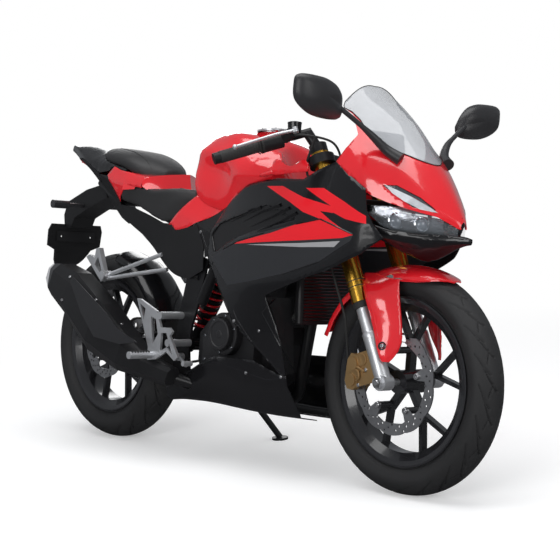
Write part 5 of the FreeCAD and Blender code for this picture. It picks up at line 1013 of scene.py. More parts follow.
def draw_in(made, start, share):
    """Shortens a pad ahead of start to a share of its run, and rounds that end."""
    for vertex in made.data.vertices:
        spot = upright_of(vertex.co)
        if spot.x > start:
            run = (spot.x - start) / (PAD_FRONT - start)
            x = start + (spot.x - start) * share
            vertex.co = place(x, spot.y * (1 - 0.42 * run ** 2.2), spot.z - 6 * run ** 2)


def blow_up(made):
    """Fills a cover by cloth pressure, each point moved by the cap at most."""
    rest = coordinates(made.data)
    held = made.vertex_groups.new(name="held")
    for vertex in made.data.vertices:
        held.add([vertex.index], float(np.clip(0.9 - 1.2 * vertex.normal.z, 0.0, 1.0)), "ADD")
    cloth = made.modifiers.new("cloth", "CLOTH")
    cloth.settings.quality = 6
    cloth.settings.use_pressure = True
    cloth.settings.uniform_pressure_force = PRESSURE
    cloth.settings.effector_weights.gravity = 0.0
    cloth.settings.vertex_group_mass = "held"
    cloth.point_cache.frame_start = 1
    cloth.point_cache.frame_end = LAST_FRAME
    for step in range(1, LAST_FRAME + 1):
        scene.frame_set(step)
    shift = coordinates(applied(made)) - rest
    scene.frame_set(1)
    made.modifiers.clear()
    length = np.linalg.norm(shift, axis=1, keepdims=True)
    shift *= np.minimum(1.0, SWELL / np.maximum(length, 1e-9))
    print(made.name, "swells by up to", round(float(length.max()) / MM, 1), "mm before the cap")
    made.data.vertices.foreach_set("co", (rest + shift).reshape(-1))
    made.data.update()


def cushion(name, node, nose=None):
    """A filled cover over a packed cushion. A nose (start, share) draws its front in."""
    mesh = nodes[node].data.copy()
    mesh.transform(nodes[node].matrix_world)
    made = bpy.data.objects.new(name, mesh)
    scene.collection.objects.link(made)
    with_modifier(made, "REMESH", mode="VOXEL", voxel_size=VOXEL)
    with_modifier(made, "SMOOTH", iterations=6, factor=0.4)
    if nose:
        draw_in(made, *nose)
    blow_up(made)
    mesh = made.data
    bpy.data.objects.remove(made)
    return finish_piece(name, mesh, "seat_cover", "chassis", node, 180)


rider_cushion = cushion("rider_cushion", "rider_seat")
pillion_cushion = cushion("pillion_cushion", "pillion_seat", (120, 0.68))
print("cushion faces", len(rider_cushion.data.polygons), len(pillion_cushion.data.polygons))

# %% [markdown]
# Welted seams lie on the settled covers.
# %%
RIDER_SEAMS = {"rider_front_seam": [(430, -100), (448, -50), (455, 0), (448, 50), (430, 100)],
               "rider_rear_seam": [(180, -92), (160, -50), (152, 0), (160, 50), (180, 92)]}
PILLION_SEAM = [(300, 70), (200, 66), (100, 52), (10, 30)]


def seam_line(name, cover, stops, radius):
    """A welted seam laid on a cover, from places given by x and y."""
    points = [v.co for v in cover.data.vertices]
    surface = BVHTree.FromPolygons(points, [tuple(f.vertices) for f in cover.data.polygons])
    found = [top_at(surface, x, y) for x, y, z in curve([(x, y, 0) for x, y in stops], 6)]
    route = [tuple(hit[0] + Vector((0, 0, radius * 0.2))) for hit in found if hit]
    put(name, [tube(route, radius, 8)], "rubber", "seat_cover", smooth=35)
    return len(route)


laid = [seam_line(name, rider_cushion, stops, 1.4) for name, stops in RIDER_SEAMS.items()]
for name, side in (("pillion_seam_right", -1), ("pillion_seam_left", 1)):
    laid.append(seam_line(name, pillion_cushion, [(x, side * y) for x, y in PILLION_SEAM], 1.3))
print("seam points", laid)

# %% [markdown]
# Lamps: behind each clear lens sit a crystal bowl, two projector units with glass balls and a light guide.
# %%
LAMP_ROWS = [
    (1276, (150, 752), (154, 728), (136, 672)), (1330, (118, 748), (122, 722), (104, 676)),
    (1390, (80, 736), (86, 716), (66, 672)), (1440, (36, 716), (42, 704), (34, 670)),
]
BOWL_INSET = (12, 16, 1)
PROJECTORS = ((1330, 92, 710, 17), (1388, 60, 702, 15))
GUIDES = 3


def ball(reach):
    """A half ball's profile on a short rim."""
    angles = [step * math.pi / 16 for step in range(1, 9)]
    return [(-1, reach)] + [(reach * 0.6 * math.sin(t), max(0.01, reach * math.cos(t))) for t in angles]


def lamp_side(side, suffix):
    back, inward, down = BOWL_INSET
    rows = [[(x - back, side * (y - inward), z - down) for y, z in row] for x, *row in LAMP_ROWS]
    bowl = [p for row in rows for p in row], grid_faces(rows)
    put("lamp_bowl" + suffix, [bowl], "crystal", "black_plastic", smooth=35)
    glass, chrome, guides = [], [], []
    for x, y, z, reach in PROJECTORS:
        forward = (0.86, side * 0.5, -0.02)
        shell = [(-6, reach + 5), (4, reach + 6), (6, reach + 3), (2, reach), (0, reach - 2)]
        chrome.append(lathe((x, side * y, z), forward, shell, 40))
        glass.append(lathe((x, side * y, z), forward, ball(reach), 32))
    for step in range(GUIDES):
        start = Vector((1345 + 34 * step, side * (98 - 24 * step), 733 - 5 * step))
        guides.append(tube([start, start + Vector((26, -side * 17, -4))], 2.2, 8))
    put("projectors" + suffix, chrome, "reflector", "silver", smooth=35)
    put("projector_glass" + suffix, glass, "lens_ball", "clear_lens", smooth=60)
    put("light_guides" + suffix, guides, "light_guide", "clear_lens", smooth=35)


lamp_side(-1, "_right")
lamp_side(1, "_left")
print("projectors", 2 * len(PROJECTORS))

# %% [markdown]
# Mirrors: smooth drop-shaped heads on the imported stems, with the glass set into a rim that faces the rider.
# %%
MIRROR_EDGE = [(1238, 226, 988), (1239, 228, 970), (1240, 244, 959), (1241, 290, 958), (1242, 336, 965),
               (1245, 375, 984), (1246, 391, 1004), (1248, 393, 1034), (1249, 388, 1053), (1250, 366, 1060),
               (1252, 320, 1059), (1251, 289, 1055), (1250, 258, 1042), (1247, 236, 1018)]
MIRROR_RINGS = [(-1.0, 0.90), (0.5, 0.95), (4, 0.99), (10, 1.0), (18, 0.97), (26, 0.89), (33, 0.75),
                (38, 0.55), (41, 0.32), (42, 0.10)]
MIRROR_STEM = [(1338, 92, 868), (1306, 112, 892), (1286, 146, 926), (1276, 186, 954), (1264, 246, 990)]
GLASS_SHARE, GLASS_BACK = 0.88, -1.6
STEM_ROOT, STEM_TAPER = 17, 10.5


def mirror(side):
    """A head with its stem, and its glass."""
    edge = [Vector((x, side * y, z)) for x, y, z in curve(MIRROR_EDGE + MIRROR_EDGE[:1], 5)[:-1]]
    middle = sum(edge, Vector()) / len(edge)

    def drawn(ahead, scale):
        return [tuple(middle + (p - middle) * scale + Vector((ahead, 0, 0))) for p in edge]

    points = [p for ahead, scale in MIRROR_RINGS for p in drawn(ahead, scale)]
    count = len(edge)
    faces = ring_faces(len(MIRROR_RINGS), count)
    faces += [tuple(range(count - 1, -1, -1)), tuple(range(len(points) - count, len(points)))]
    if side < 0:
        faces = [face[::-1] for face in faces]
    route = curve([(x, side * y, z) for x, y, z in MIRROR_STEM], 6)
    stem = tube(route, [STEM_ROOT - STEM_TAPER * min(1, 1.5 * n / len(route)) for n in range(len(route))], 18)
    return join((points, faces), stem), (drawn(GLASS_BACK, GLASS_SHARE), [tuple(range(count))])


heads, panes = zip(*[mirror(side) for side in (-1, 1)])
put("mirror_heads", heads, "mirror_shell", "mirror_shell", smooth=50, stands_for="mirrors")
put("mirror_glass", panes, "reflector", "silver", smooth=35)
print("mirror edge points", len(panes[0][0]))

# %% [markdown]
# The slot lamp of each cheek shows its pale inside, and the nose is closed between the cowl and the beak.
# %%
NOSE = surface_of("upper_cowl", "beak", "front_lamps")
SLOT = [(385, 184.5), (392.5, 185.5), (410, 196), (430, 207.5), (438, 213), (420, 209.5), (404, 201.5),
        (392, 193)]
hits = [hit for hit in (seen_at(NOSE, *pixel) for pixel in SLOT) if hit]
raised = [spot + normal for spot, normal in hits]
pale = [([(p.x, side * p.y, p.z) for p in raised], [tuple(range(len(raised)))]) for side in (1, -1)]
put("cheek_lamps", pale, "pale_lens", "clear_lens")
tip = tube([(1452, 0, 686), (1462, 0, 704), (1462, 0, 722)], [14, 13, 9], 16)
put("nose_plug", [tip], "lamp_black", "black_plastic", smooth=60)
print("slot lamp corners", len(hits))

# %% [markdown]
# Seams, creases and screws of the panels follow lines of the photograph's pixels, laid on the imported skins
# and mirrored to the other side. A run is broken where it would jump from one panel to another.

# %%
JUMP = 26.0
TRACE_STEPS = 7


def traced(surface, pixels):
    """Runs of places and outward directions along a line of pixels on a surface."""
    hits = []
    for (a, b), (c, d) in zip(pixels, pixels[1:]):
        shares = [step / TRACE_STEPS for step in range(TRACE_STEPS)]
        hits += [seen_at(surface, a + (c - a) * share, b + (d - b) * share) for share in shares]
    hits.append(seen_at(surface, *pixels[-1]))
    runs, run = [], []
    for hit in hits:
        if hit is None or (run and (hit[0] - run[-1][0]).length > JUMP):
            runs.append(run)
            run = []
        if hit is not None:
            run.append(hit)
    return [run for run in runs + [run] if len(run) > 1]


def strip(run, width, height, flat=False, tapered=False):
    """A low ridge, or a flat band, along a run on both sides of the machine. Its edges sink into the skin."""
    shoulder = height if flat else 0.2
    section = ((-1, -0.4), (-0.7, shoulder), (0, height), (0.7, shoulder), (1, -0.4))
    made = []
    for side in (1, -1):
        points, faces = [], []
        for number, (spot, normal) in enumerate(run):
            ahead = (run[min(len(run) - 1, number + 1)][0] - run[max(0, number - 1)][0]).normalized()
            across = normal.cross(ahead).normalized()
            grow = 1.0 - 0.9 * number / (len(run) - 1) if tapered else 1.0
            for share, lift in section:
                p = spot + across * (width / 2 * share * grow) + normal * lift * (grow if lift > 0 else 1)
                points.append((p.x, side * p.y, p.z))
        for row in range(len(run) - 1):
            for step in range(4):
                a = row * 5 + step
                face = (a, a + 5, a + 6, a + 1)
                faces.append(face if side > 0 else face[::-1])
        made.append((points, faces))
    return join(*made)


def patch(surface, pixels, lift, depth=1.2):
    """A thin facing inside a few pixels, lying on a surface on both sides."""
    hits = [hit for hit in (seen_at(surface, *pixel) for pixel in pixels) if hit]
    made = []
    for side in (1, -1):
        top = [spot + normal * lift for spot, normal in hits]
        low = [spot - normal * depth for spot, normal in hits]
        points = [(p.x, side * p.y, p.z) for p in top + low]
        count = len(top)
        faces = [tuple(range(count))]
        faces += [(i, i + count, (i + 1) % count + count, (i + 1) % count) for i in range(count)]
        made.append((points, [face if side > 0 else face[::-1] for face in faces]))
    return join(*made)


print("one seam in", len(traced(SKINS, [(202, 232), (232, 216), (268, 206)])), "runs")

# %% [markdown]
# Panel seams, pressed creases and the blades beside the tank, as lines of pixels.

# %%
SEAMS = [[(202, 232), (232, 216), (268, 206)], [(202, 233), (208, 252), (216, 262)],
         [(214, 286), (238, 291), (276, 283), (322, 262), (352, 241)],
         [(216, 262), (236, 318), (258, 352), (284, 378)], [(247, 373), (215, 362), (200, 357)],
         [(284, 378), (266, 380), (247, 373)], [(268, 206), (283, 214), (296, 224)]]
CREASES = [[(262, 313), (280, 293), (304, 280), (330, 268)], [(262, 313), (280, 346), (298, 378)],
           [(210, 256), (240, 240), (264, 233)], [(205, 283), (213, 262)],
           [(296, 224), (320, 219), (352, 234)], [(226, 286), (282, 274), (318, 262)]]
BLADES = [[(281, 205), (262, 212), (243, 222)], [(290, 208), (272, 217), (250, 227)],
          [(297, 213), (280, 222), (257, 231)], [(262, 207), (246, 214), (231, 222)]]
seams = [strip(run, 2.2, 0.35, flat=True) for line in SEAMS for run in traced(SKINS, line)]
creases = [strip(run, 5.0, 1.6) for line in CREASES for run in traced(SKINS, line)]
blades = [strip(run, 17.0, 8.0, tapered=True) for line in BLADES for run in traced(SKINS, line)]
put("panel_seams", seams, "lamp_black", "black_plastic", smooth=20)
put("panel_creases", creases, "black_gloss", "black_gloss", smooth=25)
put("vent_blades", blades, "black_gloss", "black_gloss", smooth=20)
print("seams", len(seams), "creases", len(creases), "blades", len(blades))

# %% [markdown]
# Panel screws, each set on the skin where it is seen and again on the other side.

# %%
SCREWS = ((201, 232), (195, 266), (234, 321), (259, 331), (281, 377), (184, 380), (246, 373), (208, 358),
          (300, 378))
SMALL_SCREWS = ((310, 288), (317, 288), (325, 287), (332, 286), (352, 262), (420, 238))


def screw_spots(pixels, size, surface=SKINS):
    made = []
    for spot, normal in [hit for hit in (seen_at(surface, *pixel) for pixel in pixels) if hit]:
        for side in (1, -1):
            outward = (normal.x, side * normal.y, normal.z)
            made.append(((spot.x, side * spot.y, spot.z), outward, (0, 0, 1), size))
    return made


bolts("panel_screws", screw_spots(SCREWS, 5.0))
bolts("small_screws", screw_spots(SMALL_SCREWS, 2.6), "chrome_dark")
print("screws", 2 * len(SCREWS), "small", 2 * len(SMALL_SCREWS))

# %% [markdown]
# Tank: a raised ring with bolts round the filler cap, and the lid's raised middle with its key flap.

# %%
CAP = (739, 0, 984)
CAP_AIM = (-0.05, 0, 1)
ring = lathe(CAP, CAP_AIM, [(-4, 46), (1.2, 46), (2.4, 43), (2.0, 36), (-1, 33)], 72)
cap_top = lathe(CAP, CAP_AIM, [(2.5, 22), (4.6, 20.5), (5.0, 12), (5.0, 0.1)], 60)
key_flap = lathe((CAP[0], 0, CAP[2] + 4), CAP_AIM, [(0, 9.5), (2.2, 9.0), (2.8, 0.1)], 32)
put("filler_ring", [ring], "silver", "silver")
put("filler_lid_top", [cap_top, key_flap], "silver", "silver", "fuel_cap")
spots = [((CAP[0] + x, y, CAP[2] + 2 + x / 20), CAP_AIM, (1, 0, 0), 3.0)
         for x, y in ring_of(40, 6, first=math.radians(30))]
bolts("filler_bolts", spots)
print("cap on the tank at", top_at(surface_of("fuel_tank"), CAP[0], 0)[0])

# %% [markdown]
# Fork: seals, bands and pinch bolts are turned about the leg's own line, which runs through the front axle.

# %%
FORK_SIDE = 97.0
FORK_AIM = (-0.40674, 0, 0.91355)
FORK_FRONT = (-FORK_AIM[2], 0, FORK_AIM[0])
SEAL = [(-2, 18.2), (-2, 23.5), (6, 24.4), (14, 24.4), (16, 22)]
SEAL_RING = [(0, 24), (0, 24.9), (2.2, 24.9), (2.2, 24)]
LEG_BAND = [(-3, 18), (-3, 20.5), (0, 21.6), (14, 21.6), (17, 20.5), (17, 18)]
FORK_CAP = [(0, 24), (2, 24), (4, 21), (4, 15), (9, 14), (9, 6), (11, 5.4), (11, 0.1)]
PINCH_BOLTS = ((16, -19, 5.0), (34, -19, 5.0), (150, -22, 4.0), (186, -22, 4.0))


def on_fork(along, side, ahead=0.0):
    """A place along a fork leg from the axle, and ahead of it."""
    x, z = FRONT_AXLE[0] + FORK_AIM[0] * along, FRONT_AXLE[2] + FORK_AIM[2] * along
    return x + FORK_AIM[2] * ahead, side * FORK_SIDE, z - FORK_AIM[0] * ahead


def band(along, side, profile, count=40):
    return lathe(on_fork(along, side), FORK_AIM, profile, count)


seals, bands, caps, spots = [], [], [], []
for side in (-1, 1):
    seals += [band(206, side, SEAL), band(262, side, SEAL_RING), band(278, side, SEAL_RING)]
    bands.append(band(120, side, LEG_BAND))
    caps.append(band(655, side, FORK_CAP, 36))
    for along, ahead, size in PINCH_BOLTS:
        spots.append((on_fork(along, side, ahead), FORK_FRONT, (0, 1, 0), size))
put("fork_seals", seals, "rubber", "rubber", "steering")
put("leg_bands", bands, "silver", "silver", "steering")
put("fork_caps", caps, "chrome_dark", "silver", "steering", 25)
bolts("leg_bolts", spots, body="steering")

NUT_FACE, NUT_THICK = 118, 8
nuts, ends = [], []
for side in (-1, 1):
    face = Vector(FRONT_AXLE) + Vector((0, side * NUT_FACE, 0))
    inside = face - Vector((0, 0 if side > 0 else NUT_THICK, 0))
    nuts.append(plate([ring_of(15, 6), ring_of(8, 20)], inside, (0, 1, 0), NUT_THICK))
    ends.append(lathe(face, (0, side, 0), [(0, 8), (9, 8), (11, 6), (11, 0.1)], 24))
put("axle_nuts", nuts + ends, "steel", "steel", "steering")
print("fork bolts", len(spots))

# %% [markdown]
# Caliper: two cylinder caps, a bridge rib, slide pins and a bleed nipple.

# %%
CALIPER = surface_of("front_caliper")
CYLINDER = 15
CYLINDER_CAP = [(-1, CYLINDER + 3), (2.5, CYLINDER + 2), (3.2, CYLINDER - 1), (1.6, CYLINDER - 4), (1.2, 0.1)]
CYLINDER_SPOTS = ((1216, 348), (1196, 306))
PIN_SPOTS = ((1184, 366), (1232, 322), (1206, 280))
RIB_SPOT, RIB_BACK, RIB_AHEAD = (1206, 327), Vector((-24, 1, 10)), Vector((22, 1, -10))
NIPPLE = [(-3, 4.5), (3, 4.5), (4, 3), (9, 2.6), (10, 3.4), (13, 3.0), (13, 0.1)]


def hits_across(surface, spots, side=-1):
    """Where lines across the machine meet a surface, leaving out those that miss."""
    return [hit for hit in (across_at(surface, x, z, side) for x, z in spots) if hit]


caps = [lathe(spot, (0, -1, 0), CYLINDER_CAP, 36) for spot, normal in hits_across(CALIPER, CYLINDER_SPOTS)]
rib_middle = across_at(CALIPER, *RIB_SPOT)[0]
ribs = [tube([rib_middle + RIB_BACK, rib_middle + RIB_AHEAD], 4.2, 10)]
pins = [(tuple(spot), (0, -1, 0), (0, 0, 1), 5.4) for spot, normal in hits_across(CALIPER, PIN_SPOTS)]
put("caliper_caps", caps + ribs, "bronze", "bronze_caliper", "steering")
bolts("caliper_pins", pins, body="steering")
nipple = lathe(top_at(CALIPER, 1190, -70)[0], (-0.2, 0, 1), NIPPLE, 16)
put("bleed_nipple", [nipple], "chrome_dark", "steel", "steering")
print("caliper caps", len(caps), "pins", len(pins))

# %% [markdown]
# Front fender: a black sheet on the slot, painted shade of its opening, its screws and the pressed lines along
# its flank.

# %%
FENDER = surface_of("front_fender")
FENDER_SLOT = [(384, 273), (392, 275), (402, 279), (394, 279.5), (387, 277)]
FENDER_LINES = [[(362, 268), (387, 278), (413, 281), (440, 281)], [(364, 282), (374, 316), (381, 348)],
                [(402, 285), (404, 320), (400, 348)]]
WASHER = [(-1, 11), (0.8, 11), (1.4, 9), (0.6, 7)]
screws = screw_spots(((382, 346),), 6.0, FENDER)
lines = [strip(run, 4.5, 1.4) for line in FENDER_LINES for run in traced(FENDER, line)]
washers = [lathe(Vector(spot[0]) + Vector(spot[1]) * 0.2, spot[1], WASHER, 32) for spot in screws]
# The slot is a black sheet lying on the skin: painted shade of the opening.
put("fender_slot", [patch(FENDER, FENDER_SLOT, 0.5)], "lamp_black", "black_plastic", "steering", 35)
put("fender_lines", lines, "red_paint", "red_paint", "steering", 25)
bolts("fender_screws", screws, "chrome_dark", "steering")
put("fender_washers", washers, "lamp_black", "black_plastic", "steering")
print("fender pieces", len(lines), len(washers))

# %% [markdown]
# Engine: rings and bolts of the two round covers, case bolts and cylinder head lines.

# %%
ENGINE = surface_of("engine", "engine_covers")
CLUTCH = (723, -166, 386)
CLUTCH_RIM = (723, -150, 386)
GENERATOR = (723, 97.3, 349)
CLUTCH_DISC = [(-1, 45.5), (1.6, 45), (3.4, 42), (3.4, 37), (1.2, 35), (1.0, 12), (2.2, 10), (2.2, 0.1)]
CLUTCH_RING = [(-1, 61), (2.0, 60.4), (3.2, 58), (3.2, 50), (0.6, 48.5)]
GENERATOR_DISC = [(-1, 58), (1.8, 57.4), (3.0, 54), (3.0, 46), (0.8, 44), (0.8, 16), (2.4, 15), (2.4, 0.1)]
BOLT_SIZE = 4.6
CASE_BOLTS = ((612, 306), (646, 262), (700, 254), (754, 254), (818, 304), (824, 392), (754, 430), (612, 376),
              (880, 552), (812, 628), (780, 590))
HEAD_LINES = (((748, 562), (888, 530)), ((764, 592), (897, 562)), ((735, 520), (872, 486)),
              ((728, 498), (864, 464)), ((721, 476), (856, 444)))
rings = [lathe(CLUTCH, (0, -1, 0), CLUTCH_DISC, 72), lathe(CLUTCH_RIM, (0, -1, 0), CLUTCH_RING, 72),
         lathe(GENERATOR, (0, 1, 0), GENERATOR_DISC, 72)]
put("cover_rings", rings, "cast_case", "cast_case")

spots = []
for (x, level, z), side, circle in (((723, -153, 386), -1, 54), ((723, 100.2, 349), 1, 50)):
    for across, up in ring_of(circle, 6, (x, z), math.radians(18)):
        spots.append(((across, level, up), (0, side, 0), (0, 0, 1), BOLT_SIZE))
for x, z in CASE_BOLTS:
    hits = [hit for side in (-1, 1) for hit in hits_across(ENGINE, ((x, z),), side)]
    spots += [(tuple(spot), tuple(normal), (0, 0, 1), BOLT_SIZE) for spot, normal in hits]
bolts("engine_bolts", spots, "chrome_dark")

head_lines = []
for ends in HEAD_LINES:
    for side in (-1, 1):
        hits = hits_across(ENGINE, ends, side)
        if len(hits) == 2 and abs(hits[0][0].y - hits[1][0].y) < 20:
            head_lines.append(tube([spot for spot, normal in hits], 2.2, 6))
put("head_lines", head_lines, "cast_case", "cast_case")
print("engine bolts", len(spots), "head lines", len(head_lines))

# %% [markdown]
# Cooling: the radiator's core of thin rows and columns between its two tanks, two hoses and their clips.

# %%
FACE_X = 1009.5
CORE_HALF, CORE_LOW, CORE_HIGH = 106, 434, 622
HOSES = ([(992, 96, 600), (960, 92, 606), (920, 84, 590), (886, 62, 574)],
         [(992, -98, 452), (950, -100, 440), (900, -92, 420), (846, -84, 372), (824, -84, 344)])
CLIP = [(-5, 11), (-5, 12.4), (5, 12.4), (5, 11)]
CLIPS = (((972, 94, 604), (-1, 0, 0.1)), ((896, 68, 580), (-1, -0.7, -0.4)), ((966, -99, 444), (-1, 0, -0.3)),
         ((828, -84, 350), (-0.6, 0, -1)))
rows = [tube([(FACE_X, -CORE_HALF, z), (FACE_X, CORE_HALF, z)], 1.5, 6) for z in range(440, CORE_HIGH, 9)]
columns = [tube([(FACE_X - 0.6, y, CORE_LOW), (FACE_X - 0.6, y, CORE_HIGH)], 0.6, 4)
           for y in range(2 - CORE_HALF, CORE_HALF - 1, 4)]
tanks = [tube([(FACE_X - 8, side * 112, CORE_LOW - 2), (FACE_X - 8, side * 112, CORE_HIGH + 2)], 10, 12)
         for side in (-1, 1)]
put("radiator_core", rows + columns, "chrome_dark", "steel")
put("radiator_tanks", tanks, "frame_paint", "frame_paint")
put("coolant_hoses", [tube(curve(route, 8), 11, 16) for route in HOSES], "rubber", "rubber", smooth=40)
put("hose_clips", [lathe(spot, along, CLIP, 24) for spot, along in CLIPS], "steel", "steel")
print("core rows", len(rows), "columns", len(columns))

# %% [markdown]
# Cockpit: the dial glass in its rim on the dash, and the steering nut, ignition lock and clamp bolts.

# %%
DASH = surface_of("dash")
DIAL = [(-64, 896), (64, 896), (64, 944), (40, 951), (-40, 951), (-64, 944)]
STEM_BACK, LOCK_BACK = -39.3, -10
STEM_NUT = [(-2, 15), (5, 15), (7, 13), (7, 8), (3, 7.4), (3, 0.1)]
LOCK = [(-4, 15), (7, 15), (9, 13), (9, 5), (7, 4.4), (7, 0.1)]
hits = [hit for hit in (met(DASH, (1000, y, z), (1, 0, 0)) for y, z in DIAL) if hit]
rim = [spot + normal * 1.2 for spot, normal in hits]
glass = [tuple(spot + normal * 0.8) for spot, normal in hits]
put("dial_glass", [(glass, [tuple(range(len(glass)))[::-1]])], "dial", "clear_lens", smooth=35)
rim_sides = [tube(pair, 2.2, 8) for pair in zip(rim, rim[1:] + rim[:1])]
put("dial_rim", rim_sides, "black_plastic", "black_plastic", smooth=35)
stem_nut = lathe(on_fork(644, 0, STEM_BACK), FORK_AIM, STEM_NUT, 6)
lock = lathe(on_fork(646, 0, LOCK_BACK), FORK_AIM, LOCK, 36)
put("steering_lock", [stem_nut, lock], "chrome_dark", "silver", "steering")
spots = [(on_fork(646, side, ahead), FORK_AIM, (1, 0, 0), 4.2) for side in (-1, 1) for ahead in (-22, 22)]
bolts("yoke_bolts", spots, body="steering")
print("dial corners", len(hits), "clamp bolts", len(spots))

# %% [markdown]
# Bars: switch keys, grip ribs, the brake fluid cup and short cables. All of them turn with the steering.

# %%
CONTROLS = surface_of("bar_controls", "grips", "handlebars")
BAR_ROOT, BAR_END = Vector((1015, 118, 952)), Vector((897, 347, 867))
KEY = [(-1, 6), (4, 5.6), (5.2, 4), (5.2, 0.1)]
KEY_SHARES = ((1, 0.30), (1, 0.36), (1, 0.42), (-1, 0.39))
STOP_SHARE = 0.31
RIBS, FIRST_RIB, RIB_SPACING = 15, 0.50, 0.029
CUP = [(0, 6), (3, 16), (6, 18), (26, 19), (28, 19), (30, 17), (30, 0.1)]
CUP_LID = [(-2, 19.6), (3, 19.6), (4.4, 17), (4.4, 0.1)]


def on_bar(share, side):
    spot = BAR_ROOT.lerp(BAR_END, share)
    return Vector((spot.x, side * spot.y, spot.z))


def key(share, side, drop):
    """A round key on the rider's side of a switch housing."""
    spot = on_bar(share, side)
    hit = met(CONTROLS, (spot.x - 150, spot.y, spot.z + 4 - drop), (1, 0, 0))
    return lathe(hit[0], (-1, 0, 0.15), KEY, 18)


def grip_rib(share, side):
    """A rib round the grip, or nothing where the grip isn't met."""
    spot, run = on_bar(share, side), BAR_END - BAR_ROOT
    hit = met(CONTROLS, (spot.x, spot.y, spot.z + 80), (0, 0, -1))
    reach = (hit[0].z - spot.z) * 0.93 if hit else 0
    profile = [(-1.8, reach - 0.4), (-0.8, reach + 0.9), (0.8, reach + 0.9), (1.8, reach - 0.4)]
    return [lathe(spot, (run.x, side * run.y, run.z), profile, 28)] if 12 < reach < 22 else []


keys = [key(share, side, 5 if share in (0.36, 0.39) else 0) for side, share in KEY_SHARES]
ribs = [rib for side in (-1, 1) for n in range(RIBS) for rib in grip_rib(FIRST_RIB + RIB_SPACING * n, side)]
put("switch_keys", keys, "rubber", "rubber", "steering", 35)
put("stop_key", [key(STOP_SHARE, -1, 0)], "red_paint", "red_plastic", "steering", 35)
put("grip_ribs", ribs, "rubber", "rubber", "steering", 40)
cup_foot = on_bar(0.16, -1) + Vector((6, 0, 8))
cup = [lathe(cup_foot, (0, 0, 1), CUP, 32), lathe(cup_foot + Vector((0, 0, 28)), (0, 0, 1), CUP_LID, 32)]
put("fluid_cup", cup, "black_gloss", "black_gloss", "steering")
cables = []
for side in (-1, 1):
    start = on_bar(0.28, side) + Vector((14, 0, 2))
    stops = [start, start + Vector((44, -side * 14, 10))]
    stops += [(1086, side * 96, 926), (1088, side * 60, 884), (1056, side * 44, 862)]
    cables.append(tube(curve(stops, 7), 3.2, 10))
put("control_cables", cables, "rubber", "rubber", "steering", 50)
print("keys", len(keys), "ribs", len(ribs))

# %% [markdown]
# Rear lamps: amber lenses on the indicators and a field of light dots behind the tail lens.

# %%
LAMPS = surface_of("rear_lamps")
INDICATOR_INSIDE, LENS_SIDE = 118, 152
INDICATOR_LENS = [(-2, 10.5), (1.2, 9.5), (2.4, 6), (2.8, 0.1)]
DOT_LEVELS, DOT_PITCH, DOT_SIZE = (890, 902, 914, 926), 9.0, 3.4
TAIL_END = -120
ambers = []
for side in (-1, 1):
    outer = [p for p in points_of("rear_lamps") if side * p.y > INDICATOR_INSIDE]
    middle = [(min(p[k] for p in outer) + max(p[k] for p in outer)) / 2 for k in range(3)]
    spot, normal = met(LAMPS, (middle[0] - 120, side * LENS_SIDE, middle[2]), (1, 0, 0))
    ambers.append(lathe(spot, (-1, 0, 0), INDICATOR_LENS, 28))
put("indicator_lenses", ambers, "amber", "tail_lens", smooth=60)
hits = [met(LAMPS, (-420, step * DOT_PITCH, z), (1, 0, 0)) for z in DOT_LEVELS for step in range(-6, 7)]
dots = [(tuple(hit[0]), tuple(hit[1]), (0, 0, 1), DOT_SIZE) for hit in hits if hit and hit[0].x < TAIL_END]
bolts("tail_dots", dots, "tail_dot")
print("indicator lenses", len(ambers), "tail dots", len(dots))

# %% [markdown]
# Muffler: shield screws, and the outlet's ring with a black cup in its cap, painted shade of the bore's depth.

# %%
MUFFLER = surface_of("muffler", "muffler_trim")
SHIELD_SCREWS = ((70, 277), (96, 300), (122, 324), (62, 300))
CAP_FRONT = -130
OUTLET_AIM = (-0.93, 0, 0.36)
OUTLET_RING = [(8, 13), (10, 14), (10, 16.5), (-4, 17.5), (-4, 24), (2, 26), (3, 22)]
OUTLET_BORE = [(9, 13), (-3, 12.6), (-3, 0.1)]
hits = [hit for hit in (seen_at(MUFFLER, *pixel) for pixel in SHIELD_SCREWS) if hit]
bolts("shield_screws", [(tuple(spot), tuple(normal), (0, 0, 1), 5.0) for spot, normal in hits])
cap_points = [p for p in points_of("muffler_trim") if p.x < CAP_FRONT]
hole = sum(cap_points, Vector()) / len(cap_points)
put("outlet_ring", [lathe(hole, OUTLET_AIM, OUTLET_RING, 40)], "steel", "silver", smooth=40)
# The black cup closes the outlet: painted shade where the bore's depth would be dark.
put("outlet_bore", [lathe(hole, OUTLET_AIM, OUTLET_BORE, 32)], "lamp_black", "black_plastic", smooth=40)
print("outlet at", [round(v) for v in hole])

# %% [markdown]
# Rear axle nuts, chain adjusters and the shock's coil.

# %%
AXLE_WASHER = [(0, 17), (2, 17), (2, 13.8), (11, 13.8), (12, 12), (12, 8.4)]
AXLE_END = [(0, 8.4), (5, 8.2), (6, 7), (6, 0.1)]
COIL_LOW, COIL_HIGH = Vector((410, 0, 372)), Vector((552, 0, 572))
nuts, tails = [], []
for side in (-1, 1):
    nuts.append(lathe((0, side * 106, REAR_AXLE[2]), (0, side, 0), AXLE_WASHER, 24))
    nuts.append(lathe((0, side * 117, REAR_AXLE[2]), (0, side, 0), AXLE_END, 24))
    tails.append(tube([(-28, side * 96, 309), (-46, side * 96, 310)], 4, 10))
    tails.append(lathe((-40, side * 96, 309.8), (-1, 0, 0), [(0, 7.4), (5, 7.4), (5, 4)], 6))
put("rear_axle_nuts", nuts, "steel", "steel")
put("chain_adjusters", tails, "steel", "steel")
spring = helix(COIL_LOW, COIL_HIGH - COIL_LOW, first=0.1, share=0.8, turns=7.5, reach=27.5, steps=240)
put("shock_coil", [tube(spring, 4.4, 10)], "red_paint", "red_plastic", smooth=60)
print("coil points", len(spring))

# %% [markdown]
# Rider's foot controls: rubber ribs on the footrests, the brake and shift pedals and the rear brake's line.

